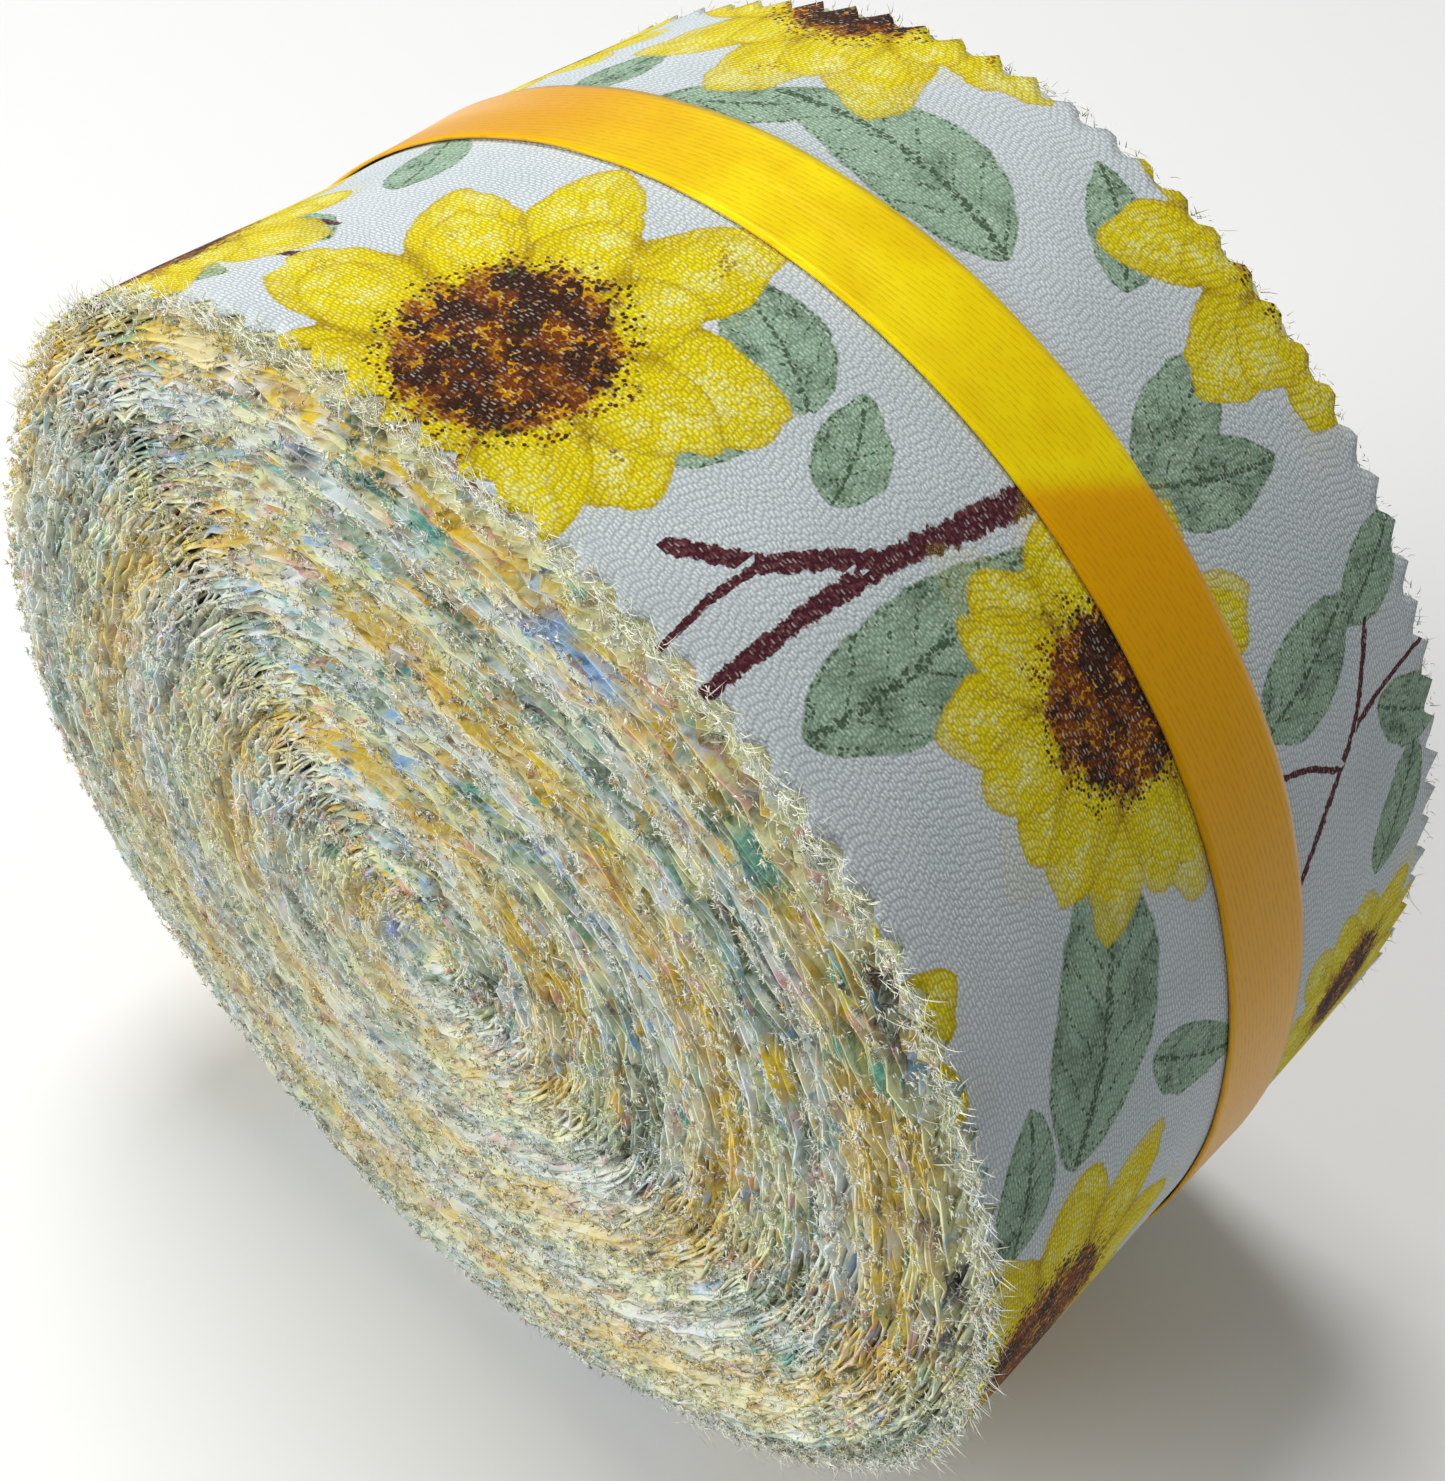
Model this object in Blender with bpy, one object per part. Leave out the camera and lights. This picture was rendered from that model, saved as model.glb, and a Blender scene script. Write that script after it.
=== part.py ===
"""Jelly roll: pinked cotton strips wound into one tight roll, tied round with a satin ribbon.

The roll stands on its rim like a wheel. Its axis runs along Y, the face with the clearest
rings looks towards -Y, and a small flat spot under it rests on the floor at Z = 0.
The object's origin is under the middle of its bounding box. Lengths are in metres.
Angles are in degrees about the roll's axis, from +X towards +Z.
"""
import math
from collections import namedtuple

import bmesh
import bpy
from mathutils import Matrix, Vector

# Driving sizes
STRIP_WIDTH = 0.0635            # a 2.5 inch strip, from tooth tip to tooth tip
ROLL_RADIUS = 0.0588            # outermost turn, at the ribbon
FLAT_HEIGHT = 0.0582            # from the roll's axis down to the flat spot
TOOTH_COUNT = 96                # pinked teeth round the outermost turn
TOOTH_DEPTH = 0.0020
EDGE_BAND = 0.0015              # how thick the outermost toothed turns stand together
RIBBON_WIDTH = 0.0100
RIBBON_THICKNESS = 0.0010
RIBBON_MIDDLE = 0.0361          # from the near edge of the outermost strip
RIBBON_GAP = 0.0003             # between the ribbon and the cloth, all round it
GROOVE_DEPTH = 0.0009           # how far the ribbon draws the cloth in
GROOVE_WALL = 0.0001            # the slope of the groove's side, along the axis
LAP_ANGLE = 214.0               # the ribbon's end laps over itself here
LAP_RISE = 0.0005
LAP_LENGTH = 24.0               # degrees over which the lapped end sinks back
STEP_ANGLE = 0.35               # half the width of the lap's step, in degrees

# Mesh density
COARSE_COLUMNS = TOOTH_COUNT // 2
FINE_RADIUS = 0.0300            # rings outside this radius have twice the columns
EDGE_ROW = 0.0030               # first row of the rim, in from each edge

# Slow bumps in the rim's outline: how many round the roll, their height at the near
# edge, under the ribbon and at the far edge, and the angle of a crest at each.
RimWave = namedtuple("RimWave", "count near near_crest waist waist_crest far far_crest")
RIM_WAVES = (
    RimWave(1, 0.0005, 186, 0.0000, 0, 0.0003, 272),
    RimWave(2, 0.0012, 16, 0.0003, 35, 0.0004, 42),
    RimWave(3, 0.0006, 2, 0.0003, 325, 0.0005, 315),
    RimWave(4, 0.0004, 28, 0.0002, 333, 0.0004, 332),
    RimWave(5, 0.0008, 336, 0.0001, 20, 0.0002, 28),
)
FAR_EDGE_DRAWN_IN = 0.0005      # the far edge is wound a little tighter

# Rings of the two faces, from the rim to the core. Strips were wound with their edges a
# little out of line: lift is how far the turns at that radius stand towards the near
# face, and swing is how much more they do so at the angle crest.
FaceRing = namedtuple("FaceRing", "radius lift swing crest")
FACE_RINGS = (
    FaceRing(0.0570, -0.0009, 0.0003, 300),
    FaceRing(0.0556, 0.0010, 0.0002, 60),
    FaceRing(0.0536, 0.0015, 0.0003, 120),
    FaceRing(0.0520, 0.0019, 0.0004, 110),
    FaceRing(0.0509, 0.0000, 0.0006, 330),
    FaceRing(0.0496, 0.0013, 0.0003, 20),
    FaceRing(0.0455, 0.0016, 0.0003, 70),
    FaceRing(0.0430, 0.0007, 0.0005, 150),
    FaceRing(0.0410, 0.0018, 0.0003, 200),
    FaceRing(0.0372, 0.0021, 0.0004, 60),
    FaceRing(0.0355, 0.0003, 0.0007, 140),
    FaceRing(0.0335, 0.0020, 0.0003, 0),
    FaceRing(0.0282, 0.0023, 0.0003, 120),
    FaceRing(0.0260, 0.0006, 0.0006, 250),
    FaceRing(0.0240, 0.0023, 0.0003, 60),
    FaceRing(0.0185, 0.0026, 0.0003, 0),
    FaceRing(0.0166, 0.0010, 0.0005, 160),
    FaceRing(0.0146, 0.0027, 0.0003, 330),
    FaceRing(0.0090, 0.0027, 0.0003, 200),
    FaceRing(0.0070, 0.0016, 0.0004, 60),
    FaceRing(0.0052, 0.0029, 0.0002, 90),
    FaceRing(0.0022, 0.0025, 0.0000, 0),
    FaceRing(0.0012, 0.0008, 0.0000, 0),
)

GROOVE_HALF = RIBBON_WIDTH / 2 + RIBBON_GAP
GROOVE_START = RIBBON_MIDDLE - GROOVE_HALF
GROOVE_END = RIBBON_MIDDLE + GROOVE_HALF
CAP_RADII = [ROLL_RADIUS - EDGE_BAND] + [ring.radius for ring in FACE_RINGS]
MERGE = 0.00001


def crest_wave(angle, count, crest):
    """1 at the angle of a crest and -1 midway between two crests."""
    return math.cos(count * (angle - math.radians(crest)))


def smooth_step(value):
    """Rise smoothly from 0 to 1 as value goes from 0 to 1."""
    value = min(max(value, 0.0), 1.0)
    return value * value * (3.0 - 2.0 * value)


def rim_radius(angle, depth):
    """Radius of the outermost turn, where depth runs from its near edge to its far edge."""
    near = 1.0 - smooth_step(depth / GROOVE_START)
    far = smooth_step((depth - GROOVE_END) / (STRIP_WIDTH - GROOVE_END))
    radius = ROLL_RADIUS - FAR_EDGE_DRAWN_IN * far
    for wave in RIM_WAVES:
        radius += near * wave.near * crest_wave(angle, wave.count, wave.near_crest)
        radius += far * wave.far * crest_wave(angle, wave.count, wave.far_crest)
        waist = wave.waist * (1.0 - near) * (1.0 - far)
        radius += waist * crest_wave(angle, wave.count, wave.waist_crest)
    return radius


def flattened(x, y, z, floor):
    """A point of the roll about its axis, pressed up where it would pass the floor."""
    return Vector((x, y, max(z, floor)))


def ring_lift(radius, angle):
    """How far the turns at this radius and angle stand towards the near face."""
    nearest = min(FACE_RINGS, key=lambda ring: abs(ring.radius - radius))
    return nearest.lift + nearest.swing * crest_wave(angle, 1, nearest.crest)


def paint(item, colour, roughness, sheen):
    """Give an object its own cloth material."""
    material = bpy.data.materials.new(item.name)
    material.use_nodes = True
    shader = material.node_tree.nodes["Principled BSDF"]
    shader.inputs["Base Color"].default_value = colour
    shader.inputs["Roughness"].default_value = roughness
    shader.inputs["Metallic"].default_value = 0.0
    shader.inputs["Sheen Weight"].default_value = sheen
    item.data.materials.append(material)


def add_object(name, mesh_data, collection):
    """Turn a bmesh into an object in the collection."""
    bmesh.ops.recalc_face_normals(mesh_data, faces=mesh_data.faces[:])
    mesh = bpy.data.meshes.new(name)
    mesh_data.to_mesh(mesh)
    mesh_data.free()
    item = bpy.data.objects.new(name, mesh)
    collection.objects.link(item)
    return item


def around_axis(vert):
    """A vertex's radius and angle about the roll's axis."""
    return math.hypot(vert.co.x, vert.co.z), math.atan2(vert.co.z, vert.co.x)


def add_cap_rings(mesh_data, cap):
    """Inset an end cap once for each ring of the face, at the ring's radius."""
    for radius in CAP_RADII:
        bmesh.ops.inset_individual(mesh_data, faces=[cap], thickness=MERGE * 10)
        for vert in cap.verts:
            angle = around_axis(vert)[1]
            vert.co.x = radius * math.cos(angle)
            vert.co.z = radius * math.sin(angle)


def add_rim_rows(mesh_data):
    """Cut the wall across at the edge rows and at the groove under the ribbon."""
    rows = (
        EDGE_ROW,
        GROOVE_START - GROOVE_WALL,
        GROOVE_START,
        GROOVE_END,
        GROOVE_END + GROOVE_WALL,
        STRIP_WIDTH - EDGE_ROW,
    )
    for depth in rows:
        everything = mesh_data.verts[:] + mesh_data.edges[:] + mesh_data.faces[:]
        bmesh.ops.bisect_plane(
            mesh_data, geom=everything, dist=MERGE, plane_co=(0, depth, 0), plane_no=(0, 1, 0))


def ring_edges(mesh_data, smallest):
    """Edges that run round the axis, no nearer to it than a radius."""
    found = []
    for edge in mesh_data.edges:
        radii = [around_axis(vert)[0] for vert in edge.verts]
        depths = [vert.co.y for vert in edge.verts]
        runs_round = abs(radii[0] - radii[1]) < MERGE and abs(depths[0] - depths[1]) < MERGE
        if runs_round and min(radii) > smallest:
            found.append(edge)
    return found


def round_off(verts):
    """Move the new vertices in the middle of straight edges out to their ring's radius."""
    for vert in verts:
        radius, angle = around_axis(vert)
        true_radius = min([ROLL_RADIUS] + CAP_RADII, key=lambda ring: abs(ring - radius))
        vert.co.x = true_radius * math.cos(angle)
        vert.co.z = true_radius * math.sin(angle)


def split_rings(mesh_data, edges):
    """Halve each edge of some rings and return the new vertices."""
    result = bmesh.ops.subdivide_edges(mesh_data, edges=edges, cuts=1, use_grid_fill=True)
    verts = [item for item in result["geom_inner"] if isinstance(item, bmesh.types.BMVert)]
    round_off(verts)
    return verts


def edge_band_edges(mesh_data):
    """Ring edges of the toothed band that stands at each edge of the rim."""
    edges = ring_edges(mesh_data, ROLL_RADIUS - EDGE_BAND - MERGE)
    at_ends = (0.0, STRIP_WIDTH)
    return [edge for edge in edges if min(abs(edge.verts[0].co.y - end) for end in at_ends) < MERGE]


def groove_share(depth):
    """1 in the groove under the ribbon and 0 outside it."""
    return 1.0 if GROOVE_START - MERGE < depth < GROOVE_END + MERGE else 0.0


def shape_roll(mesh_data, valleys):
    """Move every vertex of the plain wound cylinder to its place on the real form."""
    for vert in mesh_data.verts:
        radius, angle = around_axis(vert)
        depth = vert.co.y
        share = radius / ROLL_RADIUS
        lift = 0.0
        if radius < ROLL_RADIUS - EDGE_BAND - MERGE:
            lift = ring_lift(radius, angle)
        if vert in valleys:
            lift = -TOOTH_DEPTH if depth < STRIP_WIDTH / 2 else TOOTH_DEPTH
        radius = share * rim_radius(angle, depth)
        floor = -FLAT_HEIGHT * min(1.0, share)
        if share > 1.0 - MERGE:
            radius -= GROOVE_DEPTH * groove_share(depth)
            floor += (RIBBON_THICKNESS + RIBBON_GAP) * groove_share(depth)
        vert.co = flattened(radius * math.cos(angle), depth - lift, radius * math.sin(angle), floor)


def make_strip_roll(collection):
    """The wound strips as one solid: toothed rims, ringed faces and a groove for the ribbon."""
    mesh_data = bmesh.new()
    lay_along_y = Matrix.Translation((0, STRIP_WIDTH / 2, 0)) @ Matrix.Rotation(math.pi / 2, 4, "X")
    bmesh.ops.create_cone(
        mesh_data, cap_ends=True, segments=COARSE_COLUMNS, radius1=ROLL_RADIUS,
        radius2=ROLL_RADIUS, depth=STRIP_WIDTH, matrix=lay_along_y)
    caps = [face for face in mesh_data.faces if len(face.verts) > 4]
    add_rim_rows(mesh_data)
    for cap in caps:
        add_cap_rings(mesh_data, cap)
    split_rings(mesh_data, ring_edges(mesh_data, FINE_RADIUS))
    valleys = set(split_rings(mesh_data, edge_band_edges(mesh_data)))
    shape_roll(mesh_data, valleys)
    item = add_object("strip_roll", mesh_data, collection)
    paint(item, (0.80, 0.79, 0.62, 1.0), 0.85, 0.3)
    return item


def lapped(angle):
    """Extra height of the ribbon where its end lies over its start."""
    past = (math.degrees(angle) - LAP_ANGLE) % 360.0
    if past > LAP_LENGTH:
        return 0.0
    return LAP_RISE * (1.0 - past / LAP_LENGTH)


def beside_lap(angle, spacing):
    """Draw the two columns next to the lap's step close to it, so the step is crisp."""
    off = (math.degrees(angle) - LAP_ANGLE + 180.0) % 360.0 - 180.0
    if abs(off) < math.degrees(spacing):
        side = 1.0 if off >= 0.0 else -1.0
        return math.radians(LAP_ANGLE + side * STEP_ANGLE)
    return angle


def make_ribbon(collection):
    """The ribbon: one flat band drawn tight round the rim, its end lapped at the back."""
    mesh_data = bmesh.new()
    inner = ROLL_RADIUS - GROOVE_DEPTH + RIBBON_GAP
    outer = inner + RIBBON_THICKNESS
    near = RIBBON_MIDDLE - RIBBON_WIDTH / 2
    far = RIBBON_MIDDLE + RIBBON_WIDTH / 2
    corners = ((inner, near), (inner, far), (outer, far), (outer, near))
    profile = [mesh_data.verts.new((radius, depth, 0.0)) for radius, depth in corners]
    for index, vert in enumerate(profile):
        mesh_data.edges.new((vert, profile[(index + 1) % len(profile)]))
    bmesh.ops.spin(
        mesh_data, geom=profile + mesh_data.edges[:], cent=(0, 0, 0), axis=(0, 1, 0),
        angle=math.tau, steps=TOOTH_COUNT, use_merge=True)
    bmesh.ops.remove_doubles(mesh_data, verts=mesh_data.verts[:], dist=MERGE)
    spacing = math.tau / TOOTH_COUNT
    for vert in mesh_data.verts:
        radius, angle = around_axis(vert)
        angle = beside_lap(angle, spacing)
        is_outer = radius > inner + RIBBON_THICKNESS / 2
        bump = rim_radius(angle, vert.co.y) - ROLL_RADIUS
        radius += bump
        floor = -FLAT_HEIGHT
        if is_outer:
            radius += lapped(angle)
        else:
            floor += RIBBON_THICKNESS
        vert.co = flattened(radius * math.cos(angle), vert.co.y, radius * math.sin(angle), floor)
    item = add_object("ribbon", mesh_data, collection)
    paint(item, (0.86, 0.52, 0.02, 1.0), 0.35, 0.5)
    return item


def stand_on_floor(items):
    """Bring the middle of the pair's bounding box over the origin and its foot to Z = 0."""
    corners = [vert.co for item in items for vert in item.data.vertices]
    low = Vector([min(corner[axis] for corner in corners) for axis in range(3)])
    high = Vector([max(corner[axis] for corner in corners) for axis in range(3)])
    middle = (low + high) / 2
    for item in items:
        item.data.transform(Matrix.Translation((-middle.x, -middle.y, -low.z)))


def clear_scene():
    """Remove what the scene holds."""
    for item in list(bpy.data.objects):
        bpy.data.objects.remove(item, do_unlink=True)


def main():
    clear_scene()
    collection = bpy.data.collections.new("jelly_roll_fabric_strips")
    bpy.context.scene.collection.children.link(collection)
    roll = make_strip_roll(collection)
    ribbon = make_ribbon(collection)
    stand_on_floor([roll, ribbon])


main()
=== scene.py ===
"""Jelly roll of pinked cotton strips, tied round with a satin ribbon.

The frame gives the sizes. The strips are cut flat at their real length, pinked along both
edges, and wound up layer by layer; the outermost one carries a sunflower print. Fibres
stand out of the raw edges, and a satin ribbon goes once round and laps at the back.
Lengths are in metres. Angles are in degrees about the roll's axis, from +X towards +Z.
"""
import math
from collections import namedtuple

import bmesh
import bpy
import numpy as np
from bpy.props import FloatProperty, FloatVectorProperty, IntProperty, PointerProperty
from mathutils import Matrix, Vector


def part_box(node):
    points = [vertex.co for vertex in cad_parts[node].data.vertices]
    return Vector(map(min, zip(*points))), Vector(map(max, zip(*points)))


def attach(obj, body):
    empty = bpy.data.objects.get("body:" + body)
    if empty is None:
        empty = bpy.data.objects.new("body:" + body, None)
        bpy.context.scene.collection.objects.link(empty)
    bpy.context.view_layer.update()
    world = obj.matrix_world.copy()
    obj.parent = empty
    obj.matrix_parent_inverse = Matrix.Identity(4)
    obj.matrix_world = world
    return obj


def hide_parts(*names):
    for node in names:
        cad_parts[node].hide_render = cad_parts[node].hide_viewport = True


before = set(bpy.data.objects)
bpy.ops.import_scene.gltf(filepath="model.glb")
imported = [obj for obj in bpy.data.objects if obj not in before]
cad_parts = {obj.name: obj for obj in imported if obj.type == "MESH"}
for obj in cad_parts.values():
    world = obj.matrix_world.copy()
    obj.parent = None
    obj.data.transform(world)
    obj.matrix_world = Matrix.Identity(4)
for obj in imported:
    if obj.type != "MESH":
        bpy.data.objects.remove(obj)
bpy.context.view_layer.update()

bl_info = {
    "name": "Jelly Roll",
    "version": (1, 0, 0),
    "blender": (4, 5, 0),
    "location": "3D View > Sidebar > Jelly Roll",
    "description": "A tight roll of pinked cotton strips tied with a satin ribbon",
    "category": "Object",
}

# The photograph's frame and the camera, from the near end of the roll's axis
PHOTO_HEIGHT = 1481.0
FOCAL_PIXELS = 2463.9
CAMERA_OFFSET = (0.1078, -0.0819, 0.1635)
CAMERA_BACK = (0.4661, -0.5094, 0.7234)

# The roll's form, as it was built
STRIP_WIDTH = 0.0635
ROLL_RADIUS = 0.0588
FLAT_HEIGHT = 0.0582
TOOTH_COUNT = 96
RIBBON_MIDDLE = 0.0361
RIBBON_WIDTH = 0.0100
RIBBON_GAP = 0.0003
FAR_EDGE_DRAWN_IN = 0.0005
GROOVE_START = RIBBON_MIDDLE - (RIBBON_WIDTH / 2 + RIBBON_GAP)
GROOVE_END = RIBBON_MIDDLE + (RIBBON_WIDTH / 2 + RIBBON_GAP)
LAP_ANGLE = 214.0
LAP_TURN = 24.0                 # how far the ribbon's end laps over its start
RIBBON_COLUMNS = 480
RIBBON_ROWS = 14
# Where the ribbon's soft crease lies, and where its painted highlight band starts.
CREASE_ANGLE = 53.5
CREASE_LEAN = 5.0
SATIN_PITCH = 0.00026
TOOTH_PITCH = math.tau * ROLL_RADIUS / TOOTH_COUNT

RimWave = namedtuple("RimWave", "count near near_crest waist waist_crest far far_crest")
RIM_WAVES = (
    RimWave(1, 0.0005, 186, 0.0000, 0, 0.0003, 272),
    RimWave(2, 0.0012, 16, 0.0003, 35, 0.0004, 42),
    RimWave(3, 0.0006, 2, 0.0003, 325, 0.0005, 315),
    RimWave(4, 0.0004, 28, 0.0002, 333, 0.0004, 332),
    RimWave(5, 0.0008, 336, 0.0001, 20, 0.0002, 28),
)

# The outermost strip's turn, its mesh and its yarns
OUTER_TURN = 366.0
PRINT_TURN = 372.0
OUTER_COLUMNS = 392
OUTER_ROWS = 52
YARN_PITCH = 0.00031
FLOAT_LENGTH = 0.00072

# How the strips were wound
FREE_END_ANGLE = -122.0         # the outermost strip's free end, at the back underneath
BUNDLE_PITCH = 0.0170           # the strips were stacked, and the stack wound as a spiral
HOLLOW_RADIUS = 0.0012          # the eye of the roll
EDGE_RECESS = 0.0002            # how far the strips' cut edges sit behind their fuzz
RAW_EDGE_DEPTH = 0.0030         # how far in from the edge the teeth and bends reach

# Height of the wound edges across the near face, out to in, before the grooves
Dome = namedtuple("Dome", "radius lift")
DOME = (
    Dome(0.0590, 0.0000), Dome(0.0576, 0.0000), Dome(0.0566, 0.0004), Dome(0.0550, 0.0012),
    Dome(0.0520, 0.0017), Dome(0.0455, 0.0019), Dome(0.0372, 0.0022), Dome(0.0282, 0.0024),
    Dome(0.0185, 0.0027), Dome(0.0090, 0.0028), Dome(0.0030, 0.0025), Dome(0.0012, 0.0010),
)

# Grooves between the strips of the bundle: place inward from its start, depth and width
Groove = namedtuple("Groove", "place depth width")
GROOVES = (Groove(0.0006, 0.0013, 0.0007), Groove(0.0088, 0.0011, 0.0005),
           Groove(0.0046, 0.0005, 0.0004), Groove(0.0131, 0.0005, 0.0004))


def srgb(red, green, blue):
    """A colour read from a picture, 0 to 255, as linear light."""
    values = []
    for level in (red, green, blue):
        share = level / 255.0
        values.append(share / 12.92 if share < 0.04045 else ((share + 0.055) / 1.055) ** 2.4)
    return tuple(values)


# Cottons
CREAM = srgb(222, 226, 172)
PALE_CREAM = srgb(222, 228, 204)
ICE = srgb(206, 222, 226)
GREY_WHITE = srgb(212, 220, 212)
PEACH = srgb(226, 214, 160)
BEIGE = srgb(214, 212, 152)
MUSTARD = srgb(202, 174, 52)
YELLOW = srgb(224, 196, 34)
OLIVE = srgb(144, 142, 74)
SAGE = srgb(150, 172, 146)
DARK_GREEN = srgb(74, 92, 60)
TEAL = srgb(72, 160, 146)
DEEP_TEAL = srgb(22, 104, 98)
SKY = srgb(130, 176, 222)
BLUE = srgb(70, 104, 180)
ROSE = srgb(208, 120, 128)
BROWN = srgb(112, 70, 26)
# A dark slate ink in some print patches; as specks it is painted shade in the gaps between the wound
# edges.
INK_AND_GAP_SHADE = srgb(44, 52, 50)

# The bundle, out to in: where each cotton starts, its ground, its print and a third colour
Cotton = namedtuple("Cotton", "start ground print accent")
BUNDLE = (
    Cotton(0.0000, MUSTARD, YELLOW, BROWN),
    Cotton(0.0014, PEACH, MUSTARD, ROSE),
    Cotton(0.0030, PALE_CREAM, PEACH, TEAL),
    Cotton(0.0048, ICE, GREY_WHITE, TEAL),
    Cotton(0.0066, GREY_WHITE, PALE_CREAM, BLUE),
    Cotton(0.0082, SAGE, DARK_GREEN, OLIVE),
    Cotton(0.0094, ICE, SAGE, SKY),
    Cotton(0.0112, PALE_CREAM, CREAM, TEAL),
    Cotton(0.0128, GREY_WHITE, BEIGE, ROSE),
    Cotton(0.0142, CREAM, BEIGE, MUSTARD),
    Cotton(0.0156, BEIGE, MUSTARD, OLIVE),
)

# Names of the wound cotton's colour attributes
COTTON_COLOURS = ("ground", "print", "accent")

# Small spots of print, threads and shade over the wound edges: size, how rare, strength
Speck = namedtuple("Speck", "size above strength colour seed")
SPECKS = (
    Speck(0.0013, 0.20, 0.80, srgb(226, 230, 238), 81),
    Speck(0.0015, 0.36, 0.75, srgb(238, 234, 168), 89),
    Speck(0.0014, 0.46, 0.90, srgb(226, 182, 26), 82),
    Speck(0.0011, 0.50, 0.85, TEAL, 83),
    Speck(0.0011, 0.56, 0.80, SKY, 84),
    Speck(0.0010, 0.56, 0.70, ROSE, 85),
    Speck(0.0013, 0.46, 0.80, srgb(112, 128, 104), 86),
    # Painted shade: dark specks where the gaps between the wound edges lie in shade.
    Speck(0.0009, 0.54, 0.85, INK_AND_GAP_SHADE, 87),
    Speck(0.0012, 0.52, 0.80, srgb(170, 130, 30), 88),
)

# Prints that show as bright patches on the near face: place, reach and colour
Patch = namedtuple("Patch", "angle radius spread depth colour")
PATCHES = (
    Patch(27, 0.0532, 2.0, 0.0009, TEAL), Patch(31, 0.0552, 1.6, 0.0008, INK_AND_GAP_SHADE),
    Patch(35, 0.0562, 1.5, 0.0007, INK_AND_GAP_SHADE), Patch(37, 0.0530, 1.3, 0.0010, TEAL),
    Patch(47, 0.0524, 2.5, 0.0013, TEAL), Patch(50, 0.0512, 1.5, 0.0008, DEEP_TEAL),
    Patch(64, 0.0520, 2.0, 0.0010, SKY), Patch(69, 0.0526, 2.0, 0.0012, SKY),
    Patch(72, 0.0515, 2.0, 0.0007, BLUE), Patch(83, 0.0522, 3.0, 0.0013, TEAL),
    Patch(89, 0.0530, 2.0, 0.0007, DEEP_TEAL), Patch(92, 0.0560, 3.0, 0.0006, DARK_GREEN),
    Patch(111, 0.0550, 3.0, 0.0007, PEACH), Patch(119, 0.0548, 2.5, 0.0006, MUSTARD),
    Patch(20, 0.0548, 2.0, 0.0007, MUSTARD), Patch(12, 0.0540, 2.0, 0.0009, BROWN),
    Patch(5, 0.0556, 2.0, 0.0006, INK_AND_GAP_SHADE), Patch(86, 0.0247, 3.0, 0.0012, SKY),
    Patch(84, 0.0268, 3.5, 0.0006, BROWN), Patch(74, 0.0262, 3.0, 0.0007, YELLOW),
    Patch(24, 0.0428, 3.0, 0.0005, YELLOW), Patch(333, 0.0462, 3.0, 0.0007, TEAL),
    Patch(160, 0.0118, 9.0, 0.0008, TEAL), Patch(192, 0.0042, 20.0, 0.0007, BLUE),
    Patch(217, 0.0575, 1.8, 0.0020, DARK_GREEN), Patch(262, 0.0368, 3.0, 0.0010, DARK_GREEN),
)

# The wound strips in lengths, out to in: teeth and ragged say how even the cut edge still
# is, bend how far its tips lean, and column how far apart the mesh's columns are.
WoundKind = namedtuple("WoundKind", "name outer inner column rows teeth ragged bend seed")
WOUND_KINDS = (
    WoundKind("wound_strips_rim", 0.0585, 0.0556, TOOTH_PITCH / 2, 8, 0.7, 0.0007, 0.00016, 41),
    WoundKind("wound_strips_outer", 0.0556, 0.0400, 0.0026, 3, 0.2, 0.0008, 0.00034, 44),
    WoundKind("wound_strips_middle", 0.0400, 0.0200, 0.0026, 3, 0.2, 0.0008, 0.00034, 47),
    WoundKind("wound_strips_inner", 0.0200, 0.0080, 0.0020, 3, 0.2, 0.0007, 0.00032, 50),
    WoundKind("wound_strips_core", 0.0080, HOLLOW_RADIUS, 0.0010, 3, 0.2, 0.0009, 0.00020, 53),
)

# Loose fibres: side is -1 on the near face and 1 on the far one, count is a share of the
# setting, upright says how far they stand out and pale how white the unbleached ones are.
FibreKind = namedtuple(
    "FibreKind", "name side count joints inner outer start end inset shortest longest thick "
    "upright outward curl pale seed")
TUFT_SIZE = {1: 6, 2: 1, 3: 1}      # fibres of one, two and three joints that share a root
TUFT_SPREAD = 0.00013
BLEACHED = 0.66                     # above this share of the tufts are bleached
FIBRE_KINDS = (
    FibreKind("near_threads", -1, 0.60, 2, 0.002, 0.0588, 0, 360, 0.0010, 0.0008, 0.0030, 0.9,
              1.0, 0.0, 0.6, 0.55, 61),
    FibreKind("near_fuzz", -1, 1.00, 1, 0.002, 0.0586, 0, 360, 0.0010, 0.0004, 0.0012, 1.2,
              1.0, 0.0, 0.3, 0.05, 62),
    FibreKind("near_down", -1, 1.00, 1, 0.002, 0.0588, 0, 360, 0.0006, 0.0004, 0.0010, 1.8,
              1.0, 0.0, 0.3, 0.05, 65),
    FibreKind("rim_threads", -1, 0.95, 3, 0.0574, 0.0590, -60, 150, 0.0014, 0.0008, 0.0032, 1.0,
              0.8, 0.4, 0.7, 0.60, 66),
    FibreKind("far_threads", 1, 0.26, 2, 0.002, 0.0588, 0, 360, 0.0010, 0.0008, 0.0030, 1.0,
              1.0, 0.0, 0.6, 0.55, 63),
    FibreKind("far_rim_threads", 1, 0.30, 2, 0.0576, 0.0588, 0, 360, 0.0012, 0.0006, 0.0022, 1.0,
              0.9, 0.3, 0.7, 0.60, 67),
    FibreKind("far_fuzz", 1, 0.34, 1, 0.002, 0.0586, 0, 360, 0.0012, 0.0003, 0.0013, 1.3,
              0.8, 0.0, 0.3, 0.05, 64),
)

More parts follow.
